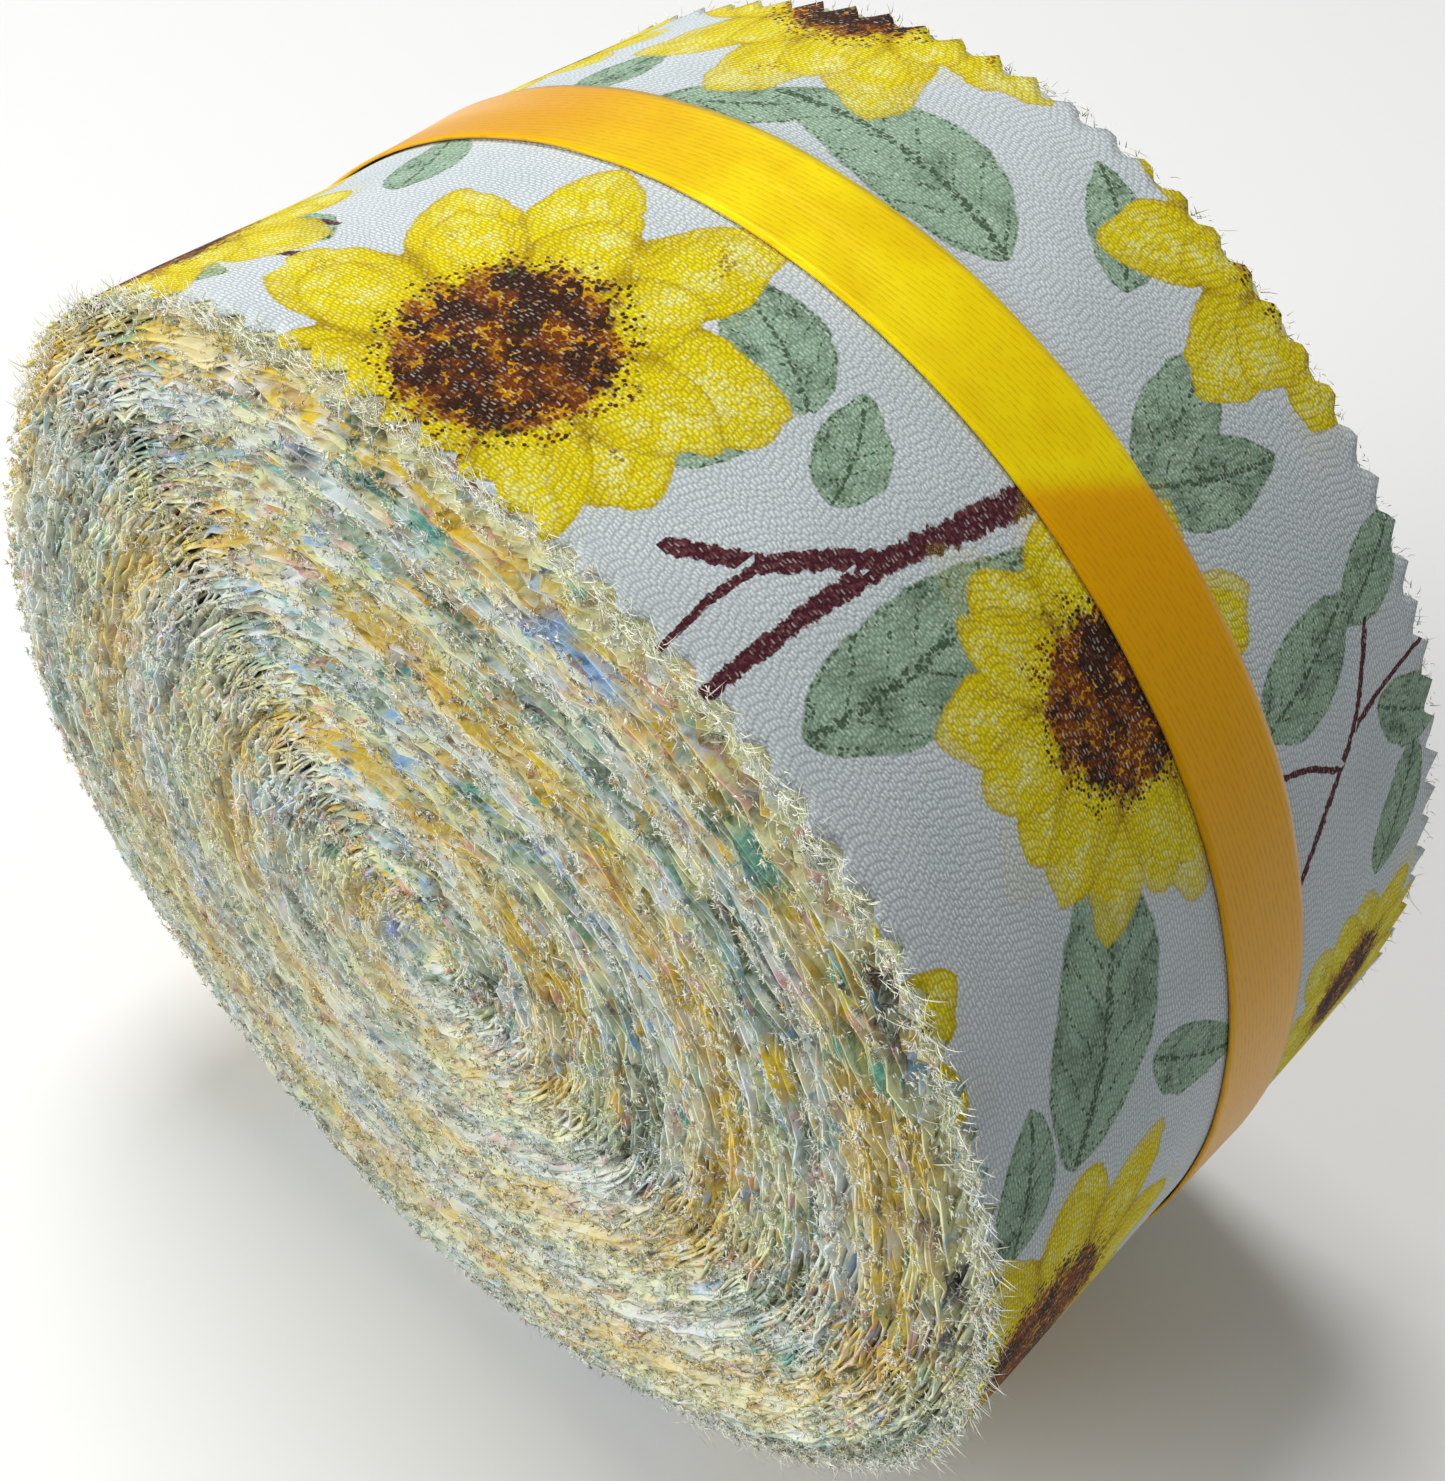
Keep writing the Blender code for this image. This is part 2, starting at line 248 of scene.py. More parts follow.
# The printed cotton of the outermost strip: angle round the roll and depth from its near
# edge. The print repeats along the cloth.
PRINT_REPEAT = 0.1376
Flower = namedtuple("Flower", "angle depth petal turn")
FLOWERS = (
    Flower(88, 0.0110, 0.0225, 10), Flower(40, 0.0285, 0.0180, 75), Flower(-7, 0.0085, 0.0200, 30),
    Flower(57, 0.0700, 0.0195, 0), Flower(99, 0.0660, 0.0215, 50), Flower(-6, 0.0525, 0.0140, 140),
    Flower(31, -0.0085, 0.0150, 20),
)
PetalRing = namedtuple("PetalRing", "count shift inner longest")
PETAL_RINGS = (PetalRing(9, 0.5, 0.64, 1.04), PetalRing(8, 0.0, 0.50, 0.90))
LEAF_PALE = srgb(190, 214, 196)
LEAF_DOTS = 2600.0              # dots of dark ink to the metre
Leaf = namedtuple("Leaf", "angle depth length width turn")
LEAVES = (
    Leaf(22, 0.0175, 0.0270, 0.0130, 25), Leaf(51, 0.0165, 0.0250, 0.0095, 88),
    Leaf(65, 0.0225, 0.0100, 0.0060, 60), Leaf(75, 0.0250, 0.0140, 0.0080, 20),
    Leaf(72, 0.0165, 0.0120, 0.0050, 100), Leaf(31, 0.0480, 0.0150, 0.0085, 70),
    Leaf(48, 0.0470, 0.0150, 0.0080, 110), Leaf(53, 0.0480, 0.0140, 0.0075, 70),
    Leaf(82, 0.0475, 0.0260, 0.0115, 5), Leaf(95, 0.0440, 0.0160, 0.0070, 150),
    Leaf(110, 0.0455, 0.0110, 0.0060, 95), Leaf(12, 0.0575, 0.0130, 0.0070, 30),
    Leaf(20, 0.0600, 0.0120, 0.0065, 120), Leaf(34, 0.0590, 0.0120, 0.0060, 60),
    Leaf(67, 0.0560, 0.0130, 0.0060, 40), Leaf(9, 0.0265, 0.0140, 0.0065, 125),
    Leaf(116, 0.0135, 0.0150, 0.0060, 0), Leaf(117, 0.0040, 0.0110, 0.0050, 170),
    Leaf(14, 0.0055, 0.0130, 0.0070, 20), Leaf(114, 0.0275, 0.0130, 0.0070, 60),
)
Twig = namedtuple("Twig", "start_width end_width points")
TWIGS = (
    Twig(0.0026, 0.0012, ((55.5, 0.0305), (56.6, 0.0240), (57.8, 0.0185), (58.3, 0.0100), (58.2, 0.0000))),
    Twig(0.0018, 0.0016, ((58.0, 0.0180), (60.5, 0.0145), (62.5, 0.0110), (65.5, 0.0085))),
    Twig(0.0009, 0.0006, ((62.8, 0.0105), (63.0, 0.0060), (62.6, 0.0025))),
    Twig(0.0008, 0.0007, ((14.0, 0.0400), (19.0, 0.0455), (24.0, 0.0520), (28.0, 0.0545))),
    Twig(0.0007, 0.0005, ((21.5, 0.0485), (24.0, 0.0450), (25.5, 0.0410))),
    Twig(0.0007, 0.0005, ((23.5, 0.0515), (24.5, 0.0560), (25.0, 0.0605))),
    Twig(0.0010, 0.0008, ((105.0, 0.0108), (112.0, 0.0092), (119.0, 0.0080), (126.0, 0.0062))),
    Twig(0.0007, 0.0005, ((113.5, 0.0150), (119.0, 0.0150), (126.0, 0.0125))),
)


class StripSettings(bpy.types.PropertyGroup):
    """Sizes and colours of the cotton strips."""
    pitch: FloatProperty(
        name="Layer Pitch", description="Distance from one wound layer to the next",
        default=0.000247, min=0.0001, max=0.001, precision=6, unit="LENGTH")
    thickness: FloatProperty(
        name="Cloth Thickness", description="Thickness of the quilting cotton",
        default=0.00019, min=0.00005, max=0.0004, precision=6, unit="LENGTH")
    tooth_depth: FloatProperty(
        name="Tooth Depth", description="How deep the pinking shears cut",
        default=0.0020, min=0.0, max=0.004, precision=5, unit="LENGTH")
    cloth: FloatVectorProperty(
        name="Cloth", description="Ground of the printed cotton",
        default=srgb(214, 222, 226), size=3, subtype="COLOR", min=0.0, max=1.0)
    petal: FloatVectorProperty(
        name="Petals", description="Yellow of the printed petals",
        default=srgb(230, 212, 6), size=3, subtype="COLOR", min=0.0, max=1.0)
    petal_shade: FloatVectorProperty(
        name="Petal Shade", description="Deeper yellow between the petals",
        default=srgb(208, 184, 4), size=3, subtype="COLOR", min=0.0, max=1.0)
    petal_pale: FloatVectorProperty(
        name="Petal Highlight", description="Pale middles of the petals",
        default=srgb(236, 236, 166), size=3, subtype="COLOR", min=0.0, max=1.0)
    core: FloatVectorProperty(
        name="Flower Core", description="Dark brown of the flowers' middles",
        default=srgb(60, 34, 22), size=3, subtype="COLOR", min=0.0, max=1.0)
    core_rust: FloatVectorProperty(
        name="Core Rust", description="Rust stipple of the flowers' middles",
        default=srgb(122, 60, 20), size=3, subtype="COLOR", min=0.0, max=1.0)
    leaf: FloatVectorProperty(
        name="Leaves", description="Sage green of the leaves",
        default=srgb(156, 184, 158), size=3, subtype="COLOR", min=0.0, max=1.0)
    leaf_dark: FloatVectorProperty(
        name="Leaf Shade", description="Darker green of the leaves' veins and edges",
        default=srgb(62, 86, 58), size=3, subtype="COLOR", min=0.0, max=1.0)
    twig: FloatVectorProperty(
        name="Twigs", description="Maroon of the printed twigs",
        default=srgb(78, 34, 44), size=3, subtype="COLOR", min=0.0, max=1.0)


class RibbonSettings(bpy.types.PropertyGroup):
    """Sizes and colours of the ribbon."""
    width: FloatProperty(
        name="Width", description="Width of the ribbon from edge to edge",
        default=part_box("ribbon")[1][1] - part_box("ribbon")[0][1], min=0.004, max=0.02,
        precision=4, unit="LENGTH")
    thickness: FloatProperty(
        name="Thickness", description="Thickness of the satin",
        default=0.00028, min=0.0001, max=0.001, precision=5, unit="LENGTH")
    # The painted highlight's yellow, used on the satin over its top from the crease on.
    colour: FloatVectorProperty(
        name="Satin", description="Bright yellow of the satin where it is smooth and lit",
        default=srgb(240, 206, 4), size=3, subtype="COLOR", min=0.0, max=1.0)
    shade: FloatVectorProperty(
        name="Satin Shade", description="Deeper gold of the satin elsewhere",
        default=srgb(226, 160, 2), size=3, subtype="COLOR", min=0.0, max=1.0)


class FraySettings(bpy.types.PropertyGroup):
    """The loose fibres at the strips' cut edges."""
    threads: IntProperty(
        name="Threads", description="Long curly threads on the near face",
        default=4200, min=0, max=8000)
    fuzz: IntProperty(
        name="Fuzz", description="Short fibres in each coat on the near face",
        default=46000, min=0, max=49000)
    radius: FloatProperty(
        name="Thread Radius", description="Half the thickness of a loose thread",
        default=0.00005, min=0.00001, max=0.0002, precision=6, unit="LENGTH")


class StudioSettings(bpy.types.PropertyGroup):
    """The floor and the lights."""
    floor: FloatVectorProperty(
        name="Floor", description="Colour of the plain floor",
        default=(0.86, 0.86, 0.86), size=3, subtype="COLOR", min=0.0, max=1.0)
    key: FloatProperty(
        name="Key Light", description="Power of the soft light overhead",
        default=4.4, min=0.0, max=100.0, unit="POWER")
    front: FloatProperty(
        name="Front Light", description="Power of the soft light before the near face",
        default=8.2, min=0.0, max=100.0, unit="POWER")
    fill: FloatProperty(
        name="Fill", description="Strength of the light from all round",
        default=0.25, min=0.0, max=5.0)


def wave_sum(angle, part):
    """The rim's slow bumps at angles in radians, for the near, waist or far section."""
    total = 0.0
    for wave in RIM_WAVES:
        height = getattr(wave, part)
        crest = math.radians(getattr(wave, part + "_crest"))
        total = total + height * np.cos(wave.count * (angle - crest))
    return total


def smooth_step(value):
    """Rise smoothly from 0 to 1 as value goes from 0 to 1."""
    value = np.clip(value, 0.0, 1.0)
    return value * value * (3.0 - 2.0 * value)


def rim_radius(angle, depth):
    """Radius of the outermost turn at angles in radians and depths from its near edge."""
    near = 1.0 - smooth_step(depth / GROOVE_START)
    far = smooth_step((depth - GROOVE_END) / (STRIP_WIDTH - GROOVE_END))
    radius = ROLL_RADIUS - FAR_EDGE_DRAWN_IN * far
    radius = radius + near * wave_sum(angle, "near") + far * wave_sum(angle, "far")
    return radius + (1.0 - near) * (1.0 - far) * wave_sum(angle, "waist")


def roll_middle():
    """The axis' X and the near edge's Y, from the frame."""
    turn = np.linspace(0.0, math.tau, 1441)
    across = [rim_radius(turn, depth) * np.cos(turn) for depth in (0.0, RIBBON_MIDDLE, STRIP_WIDTH)]
    low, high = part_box("ribbon")
    near_edge = (low[1] + high[1]) / 2 - RIBBON_MIDDLE
    return -(np.min(across) + np.max(across)) / 2, near_edge


AXIS_X, NEAR_EDGE_Y = roll_middle()


def place_on_roll(radius, angle, depth, floor_rise=0.0):
    """World points for radii of the perfect roll, angles in radians and depths."""
    share = radius / ROLL_RADIUS
    real = share * rim_radius(angle, depth)
    height = np.maximum(real * np.sin(angle), -FLAT_HEIGHT * np.minimum(share, 1.0) + floor_rise)
    points = np.empty(np.shape(real) + (3,))
    points[..., 0] = AXIS_X + real * np.cos(angle)
    points[..., 1] = NEAR_EDGE_Y + depth
    points[..., 2] = FLAT_HEIGHT + height
    return points


def bundle_place(radius, angle):
    """How far inward in the wound bundle a point of the face lies, 0 to BUNDLE_PITCH."""
    return (0.0515 - radius + BUNDLE_PITCH * angle / math.tau) % BUNDLE_PITCH


def face_lift(radius, angle):
    """How far the wound edges stand towards the near face."""
    rows = sorted(DOME)
    lift = np.interp(radius, [row.radius for row in rows], [row.lift for row in rows])
    place = bundle_place(radius, angle)
    inside = smooth_step((0.0572 - radius) / 0.0015) * smooth_step((radius - 0.002) / 0.004)
    for groove in GROOVES:
        off = (place - groove.place + BUNDLE_PITCH / 2) % BUNDLE_PITCH - BUNDLE_PITCH / 2
        lift = lift - groove.depth * np.exp(-(off / groove.width) ** 2) * inside
    return lift


def slow_noise(place, period, seed):
    """A smooth random value from -1 to 1 along a length."""
    table = np.random.default_rng(seed).uniform(-1.0, 1.0, 4096)
    step = place / period
    index = np.floor(step).astype(int)
    share = smooth_step(step - index)
    return table[index % 4096] * (1.0 - share) + table[(index + 1) % 4096] * share


def field_noise(first, second, seed):
    """A smooth random value from -1 to 1 over two coordinates."""
    table = np.random.default_rng(seed).uniform(-1.0, 1.0, (256, 256))
    column = np.floor(first).astype(int)
    row = np.floor(second).astype(int)
    across = smooth_step(first - column)
    down = smooth_step(second - row)
    total = 0.0
    for step_column, weight_column in ((0, 1.0 - across), (1, across)):
        for step_row, weight_row in ((0, 1.0 - down), (1, down)):
            value = table[(column + step_column) % 256, (row + step_row) % 256]
            total = total + value * weight_column * weight_row
    return total


def cotton_colours(radius, angle, depth_side):
    """Ground, print and accent colours of the wound strips at points of a face."""
    turn = angle / math.tau
    across = radius * np.cos(angle)
    up = radius * np.sin(angle)
    wander = 0.0016 * field_noise(turn * 24.0 % 256, radius / 0.0035, 11)
    wander = wander + 0.0012 * field_noise(across / 0.0027, up / 0.0027, 12)
    place = (bundle_place(radius, angle) + wander) % BUNDLE_PITCH
    starts = np.array([cotton.start for cotton in BUNDLE])
    index = np.searchsorted(starts, place, side="right") - 1
    ground = np.array([cotton.ground for cotton in BUNDLE])[index]
    printed = np.array([cotton.print for cotton in BUNDLE])[index]
    accent = np.array([cotton.accent for cotton in BUNDLE])[index]
    coarse = field_noise(across / 0.0021, up / 0.0021, 13)
    fine = field_noise(across / 0.0009, up / 0.0009, 14)
    # The specks are spots of print and threads, and the dark ones are painted shade.
    for speck in SPECKS:
        spots = field_noise(across / speck.size, up / speck.size, speck.seed)
        weight = (speck.strength * smooth_step((spots - speck.above) / 0.12))[..., None]
        ground = ground * (1.0 - weight) + np.array(speck.colour) * weight
    swap = smooth_step((coarse + 0.5 * fine - 0.15) / 0.3)[..., None]
    ground, printed = ground * (1.0 - swap) + printed * swap, printed * (1.0 - swap) + ground * swap
    degrees = np.degrees(angle) % 360.0
    for patch in PATCHES:
        off = (degrees - patch.angle + 180.0) % 360.0 - 180.0
        reach = (off / patch.spread) ** 2 + ((radius - patch.radius) / patch.depth) ** 2
        weight = (np.clip(1.7 - reach + 0.5 * fine, 0.0, 1.0) * depth_side)[..., None]
        colour = np.array(patch.colour)
        ground = ground * (1.0 - 0.9 * weight) + colour * 0.9 * weight
        printed = printed * (1.0 - weight) + colour * weight
    return ground, printed, accent


class Wiring:
    """Builds one material's nodes: each method adds a node and returns its output."""

    def __init__(self, name):
        self.material = bpy.data.materials.new(name)
        self.material.use_nodes = True
        self.tree = self.material.node_tree
        self.shader = self.tree.nodes["Principled BSDF"]

    def put(self, value, socket):
        if isinstance(value, bpy.types.NodeSocket):
            self.tree.links.new(value, socket)
        elif isinstance(value, (int, float)):
            socket.default_value = value
        elif len(value) == 3 and len(socket.default_value) == 4:
            socket.default_value = (*value, 1.0)
        else:
            socket.default_value = value

    def attribute(self, name, output="Vector"):
        node = self.tree.nodes.new("ShaderNodeAttribute")
        node.attribute_name = name
        return node.outputs[output]

    def coordinates(self, output):
        return self.tree.nodes.new("ShaderNodeTexCoord").outputs[output]

    def split(self, vector):
        node = self.tree.nodes.new("ShaderNodeSeparateXYZ")
        self.put(vector, node.inputs[0])
        return node.outputs

    def join(self, x, y, z=0.0):
        node = self.tree.nodes.new("ShaderNodeCombineXYZ")
        for value, socket in zip((x, y, z), node.inputs):
            self.put(value, socket)
        return node.outputs[0]

    def math(self, operation, first, second=0.0, third=0.0):
        node = self.tree.nodes.new("ShaderNodeMath")
        node.operation = operation
        for value, socket in zip((first, second, third), node.inputs):
            self.put(value, socket)
        return node.outputs[0]

    def plus(self, first, second):
        return self.math("ADD", first, second)

    def minus(self, first, second):
        return self.math("SUBTRACT", first, second)

    def times(self, first, second):
        return self.math("MULTIPLY", first, second)

    def scaled(self, value, factor, offset):
        return self.math("MULTIPLY_ADD", value, factor, offset)

    def size(self, value):
        return self.math("ABSOLUTE", value)

    def vector(self, operation, first, second=(0.0, 0.0, 0.0)):
        node = self.tree.nodes.new("ShaderNodeVectorMath")
        node.operation = operation
        self.put(first, node.inputs[0])
        self.put(second, node.inputs[1])
        return node.outputs["Value"] if operation == "LENGTH" else node.outputs[0]

    def noise(self, vector, scale, detail=2.0, roughness=0.5):
        node = self.tree.nodes.new("ShaderNodeTexNoise")
        self.put(vector, node.inputs["Vector"])
        self.put(scale, node.inputs["Scale"])
        self.put(detail, node.inputs["Detail"])
        self.put(roughness, node.inputs["Roughness"])
        return node.outputs["Fac"]

    def cells(self, vector, scale):
        node = self.tree.nodes.new("ShaderNodeTexVoronoi")
        self.put(vector, node.inputs["Vector"])
        self.put(scale, node.inputs["Scale"])
        return node.outputs["Distance"]

    def random(self, vector, output="Value"):
        node = self.tree.nodes.new("ShaderNodeTexWhiteNoise")
        self.put(vector, node.inputs["Vector"])
        return node.outputs[output]

    def step(self, value, low, high):
        node = self.tree.nodes.new("ShaderNodeMapRange")
        node.interpolation_type = "SMOOTHSTEP"
        self.put(value, node.inputs["Value"])
        self.put(low, node.inputs["From Min"])
        self.put(high, node.inputs["From Max"])
        return node.outputs["Result"]

    def mix(self, share, first, second, blend="MIX"):
        node = self.tree.nodes.new("ShaderNodeMix")
        node.data_type = "RGBA"
        node.blend_type = blend
        self.put(share, node.inputs[0])
        self.put(first, node.inputs[6])
        self.put(second, node.inputs[7])
        return node.outputs[2]

    def bump(self, height, distance, strength=1.0):
        node = self.tree.nodes.new("ShaderNodeBump")
        self.put(height, node.inputs["Height"])
        self.put(distance, node.inputs["Distance"])
        self.put(strength, node.inputs["Strength"])
        self.tree.links.new(node.outputs["Normal"], self.shader.inputs["Normal"])

    def finish(self, colour, roughness, **sockets):
        self.put(colour, self.shader.inputs["Base Color"])
        self.shader.inputs["Roughness"].default_value = roughness
        for name, value in sockets.items():
            self.put(value, self.shader.inputs[name.replace("_", " ")])
        return self.material


def weave_height(wiring, uv):
    """Height of the weave over flat cloth coordinates in metres, 0 to 1: short floats in rows."""
    along, across, _ = wiring.split(uv)
    drift = wiring.minus(wiring.noise(uv, 420.0, 2.0), 0.5)
    row_place = wiring.plus(wiring.math("DIVIDE", across, YARN_PITCH), wiring.times(drift, 2.4))
    row = wiring.math("FLOOR", row_place)
    ridge = wiring.math("PINGPONG", wiring.times(row_place, 2.0), 1.0)
    float_place = wiring.scaled(row, 0.37, wiring.math("DIVIDE", along, FLOAT_LENGTH))
    float_place = wiring.plus(float_place, wiring.random(wiring.join(row, 4.0)))
    number = wiring.math("FLOOR", float_place)
    middle = wiring.math("PINGPONG", wiring.times(float_place, 2.0), 1.0)
    lively = wiring.scaled(wiring.random(wiring.join(row, number)), 0.75, 0.35)
    body = wiring.times(wiring.step(ridge, 0.05, 0.75), wiring.step(middle, 0.02, 0.60))
    return wiring.times(body, lively)


def petal_ring(wiring, turn, radius, seed, ring):
    """One ring of petals: how far inside its outline a point is, its place across, its number."""
    sector = wiring.scaled(turn, ring.count, ring.shift)
    number = wiring.math("FLOOR", sector)
    wrapped = wiring.math("WRAP", number, 0.0, float(ring.count))
    across = wiring.minus(wiring.math("FRACT", sector), 0.5)
    key = wiring.join(wrapped, seed, ring.shift)
    length = wiring.scaled(wiring.random(key), 0.24, ring.longest - 0.24)
    lean = wiring.minus(wiring.random(wiring.join(seed, wrapped, ring.shift + 3.0)), 0.5)
    across = wiring.plus(across, wiring.times(lean, wiring.times(radius, 0.20)))
    edge = wiring.math("POWER", wiring.math("MINIMUM", wiring.size(wiring.times(across, 2.0)), 1.0), 1.45)
    outline = wiring.scaled(wiring.minus(1.0, edge),
                          wiring.minus(length, ring.inner), ring.inner)
    return wiring.minus(outline, radius), across, key, length


def petal_tone(wiring, settings, petal, radius, spot):
    """Colour inside a petal: streaks, a pale middle, darker edges and a little stipple."""
    inside, across, key, length = petal
    reach = wiring.math("DIVIDE", radius, length)
    streak_place = wiring.join(wiring.times(across, 9.0),
                               wiring.times(radius, 2.2), wiring.random(key))
    streaks = wiring.noise(streak_place, 2.4, 4.0, 0.6)
    ground = wiring.mix(wiring.step(streaks, 0.34, 0.60), settings.petal_shade, settings.petal)
    shift = wiring.times(wiring.minus(wiring.random(key, "Color"), 0.5), 0.34)
    side = wiring.size(wiring.plus(across, shift))
    centre = wiring.minus(1.0, wiring.times(side, 3.6))
    middle = wiring.minus(1.0, wiring.size(wiring.times(wiring.minus(reach, 0.76), 4.2)))
    blotch = wiring.noise(wiring.vector("MULTIPLY", spot, (1.0, 1.0, 3.0)), 9.0, 5.0, 0.7)
    pale = wiring.times(wiring.step(centre, 0.0, 0.8), wiring.step(middle, 0.0, 0.7))
    speckle = wiring.noise(wiring.vector("ADD", spot, (7.0, 1.0, 0.0)), 44.0, 2.0)
    pale = wiring.times(pale, wiring.step(blotch, 0.47, 0.56))
    pale = wiring.times(pale, wiring.step(speckle, 0.40, 0.52))
    ground = wiring.mix(pale, ground, settings.petal_pale)
    glow = wiring.times(wiring.step(centre, -0.4, 0.9), 0.35)
    ground = wiring.mix(glow, ground, srgb(244, 232, 34))
    seam = wiring.step(wiring.size(across), 0.36, 0.50)
    rim = wiring.step(inside, 0.045, 0.0)
    dark = wiring.math("MAXIMUM", wiring.times(seam, 0.8), wiring.times(rim, 0.6))
    ground = wiring.mix(dark, ground, srgb(176, 146, 2))
    dots = wiring.step(wiring.cells(spot, 52.0), 0.52, 0.30)
    patch = wiring.step(wiring.noise(wiring.vector("ADD", spot, (3.0, 8.0, 0.0)), 3.4, 1.0), 0.58, 0.64)
    axis = wiring.step(side, 0.16, 0.04)
    near_core = wiring.step(reach, 0.74, 0.40)
    on_axis = wiring.times(wiring.times(patch, axis), wiring.step(reach, 0.9, 0.7))
    in_seam = wiring.times(near_core, wiring.times(seam, wiring.step(blotch, 0.45, 0.55)))
    stipple = wiring.times(dots, wiring.math("MAXIMUM", on_axis, in_seam))
    return wiring.mix(wiring.times(stipple, 0.95), ground, srgb(132, 62, 12))


def core_tone(wiring, settings, spot, radius, below):
    """The flower's middle: dense dark and rust dots over amber, scattering outwards."""
    dot_gap = wiring.cells(spot, 46.0)
    patches = wiring.noise(spot, 7.0, 3.0, 0.6)
    other = wiring.noise(wiring.vector("ADD", spot, (5.0, 2.0, 9.0)), 8.0, 2.0, 0.6)
    amber = wiring.mix(wiring.step(other, 0.42, 0.58), srgb(206, 152, 14), srgb(150, 96, 10))
    amber = wiring.mix(wiring.step(patches, 0.60, 0.66), amber, srgb(74, 98, 16))
    ink = wiring.mix(wiring.step(patches, 0.40, 0.56), settings.core_rust, settings.core)
    ragged = wiring.plus(radius, wiring.times(wiring.minus(wiring.noise(spot, 11.0, 3.0), 0.5), 0.22))
    dense = wiring.step(ragged, 0.50, 0.26)
    reach = wiring.scaled(dense, 0.62, wiring.times(wiring.step(patches, 0.36, 0.60), 0.22))
    dots = wiring.step(wiring.minus(reach, dot_gap), -0.04, 0.06)
    core = wiring.mix(dots, amber, ink)
    heart = wiring.mix(wiring.step(ragged, 0.40, 0.35), below, core)
    loose = wiring.times(wiring.step(ragged, 0.47, 0.43), wiring.step(dot_gap, 0.46, 0.30))
    return wiring.mix(loose, heart, ink)


def flower_colour(wiring, settings, below):
    """Draw the nearest sunflower over the colour below."""
    x, y, seed = wiring.split(wiring.attribute("flower"))
    spot = wiring.join(x, y, seed)
    wobble = wiring.minus(wiring.noise(spot, 4.0, 2.0), 0.5)
    fine = wiring.minus(wiring.noise(spot, 30.0, 2.0), 0.5)
    radius = wiring.vector("LENGTH", wiring.join(x, y, 0.0))
    radius = wiring.plus(radius, wiring.times(wobble, 0.07))
    radius = wiring.plus(radius, wiring.times(fine, 0.016))
    turn = wiring.math("DIVIDE", wiring.math("ARCTAN2", y, x), math.tau)
    turn = wiring.plus(turn, wiring.times(wobble, 0.035))
    turn = wiring.math("FRACT", wiring.plus(turn, 1.5))
    colour = below
    for ring in PETAL_RINGS:
        petal = petal_ring(wiring, turn, radius, seed, ring)
        tone = petal_tone(wiring, settings, petal, radius, spot)
        colour = wiring.mix(wiring.step(petal[0], 0.0, 0.014), colour, tone)
    return core_tone(wiring, settings, spot, radius, colour)


def leaf_colour(wiring, settings, name, below):
    """Draw the leaf in one of the leaf attributes over the colour below."""
    x, y, seed = wiring.split(wiring.attribute(name))
    slimness = wiring.attribute(name + "_width", "Fac")
    spot = wiring.join(x, y, seed)
    wobble = wiring.minus(wiring.noise(spot, 3.0, 3.0), 0.5)
    y = wiring.plus(y, wiring.times(wiring.times(x, x), 0.10))
    across = wiring.math("DIVIDE", wiring.size(y), slimness)
    arch = wiring.math("POWER", wiring.math("MAXIMUM", wiring.minus(1.0, wiring.times(x, x)), 0.0), 0.72)
    arch = wiring.times(arch, wiring.scaled(x, -0.22, 1.0))
    inside = wiring.minus(wiring.plus(arch, wiring.times(wobble, 0.35)), across)
    body = wiring.times(wiring.step(inside, 0.0, 0.07), wiring.step(wiring.size(x), 1.0, 0.97))
    shade = wiring.noise(spot, 2.6, 4.0, 0.6)
    brush = wiring.noise(wiring.join(wiring.times(x, 5.0), wiring.times(y, 22.0), seed),
                         1.0, 3.0, 0.6)
    soft = wiring.mix(0.5, settings.leaf, settings.leaf_dark)
    ground = wiring.mix(wiring.step(shade, 0.42, 0.66), settings.leaf, soft)
    ground = wiring.mix(wiring.times(wiring.step(brush, 0.50, 0.70), 0.45), ground, LEAF_PALE)
    rib = wiring.step(wiring.size(y), 0.060, 0.015)
    slant = wiring.minus(wiring.times(x, 3.6), wiring.times(wiring.size(y), 4.0))
    vein = wiring.step(wiring.size(wiring.minus(wiring.math(
        "FRACT", wiring.plus(slant, wobble)), 0.5)), 0.14, 0.03)
    border = wiring.step(inside, 0.30, 0.04)
    dark = wiring.math("MAXIMUM", wiring.times(vein, 0.55), wiring.times(border, 0.50))
    dark = wiring.math("MAXIMUM", wiring.math("MAXIMUM", dark, wiring.times(rib, 0.75)),
                       wiring.times(wiring.step(shade, 0.50, 0.75), 0.7))
    dot_gap = wiring.cells(wiring.coordinates("UV"), LEAF_DOTS)
    dots = wiring.step(wiring.minus(wiring.times(dark, 0.85), dot_gap), -0.10, 0.10)
    ground = wiring.mix(wiring.times(dots, 0.85), ground, settings.leaf_dark)
    return wiring.mix(body, below, ground)


def twig_colour(wiring, settings, below):
    """Draw the printed twig over the colour below."""
    off, along, seed = wiring.split(wiring.attribute("twig"))
    spot = wiring.join(wiring.times(along, 1300.0), wiring.times(off, 0.9), seed)
    rough = wiring.minus(wiring.noise(spot, 1.0, 3.0, 0.6), 0.5)
    width = wiring.scaled(rough, 1.9, 1.05)
    inside = wiring.minus(width, wiring.size(off))
    tone = wiring.noise(spot, 2.1, 2.0)
    colour = wiring.mix(wiring.step(tone, 0.45, 0.65), settings.twig, srgb(112, 62, 66))
    return wiring.mix(wiring.step(inside, 0.0, 0.22), below, colour)


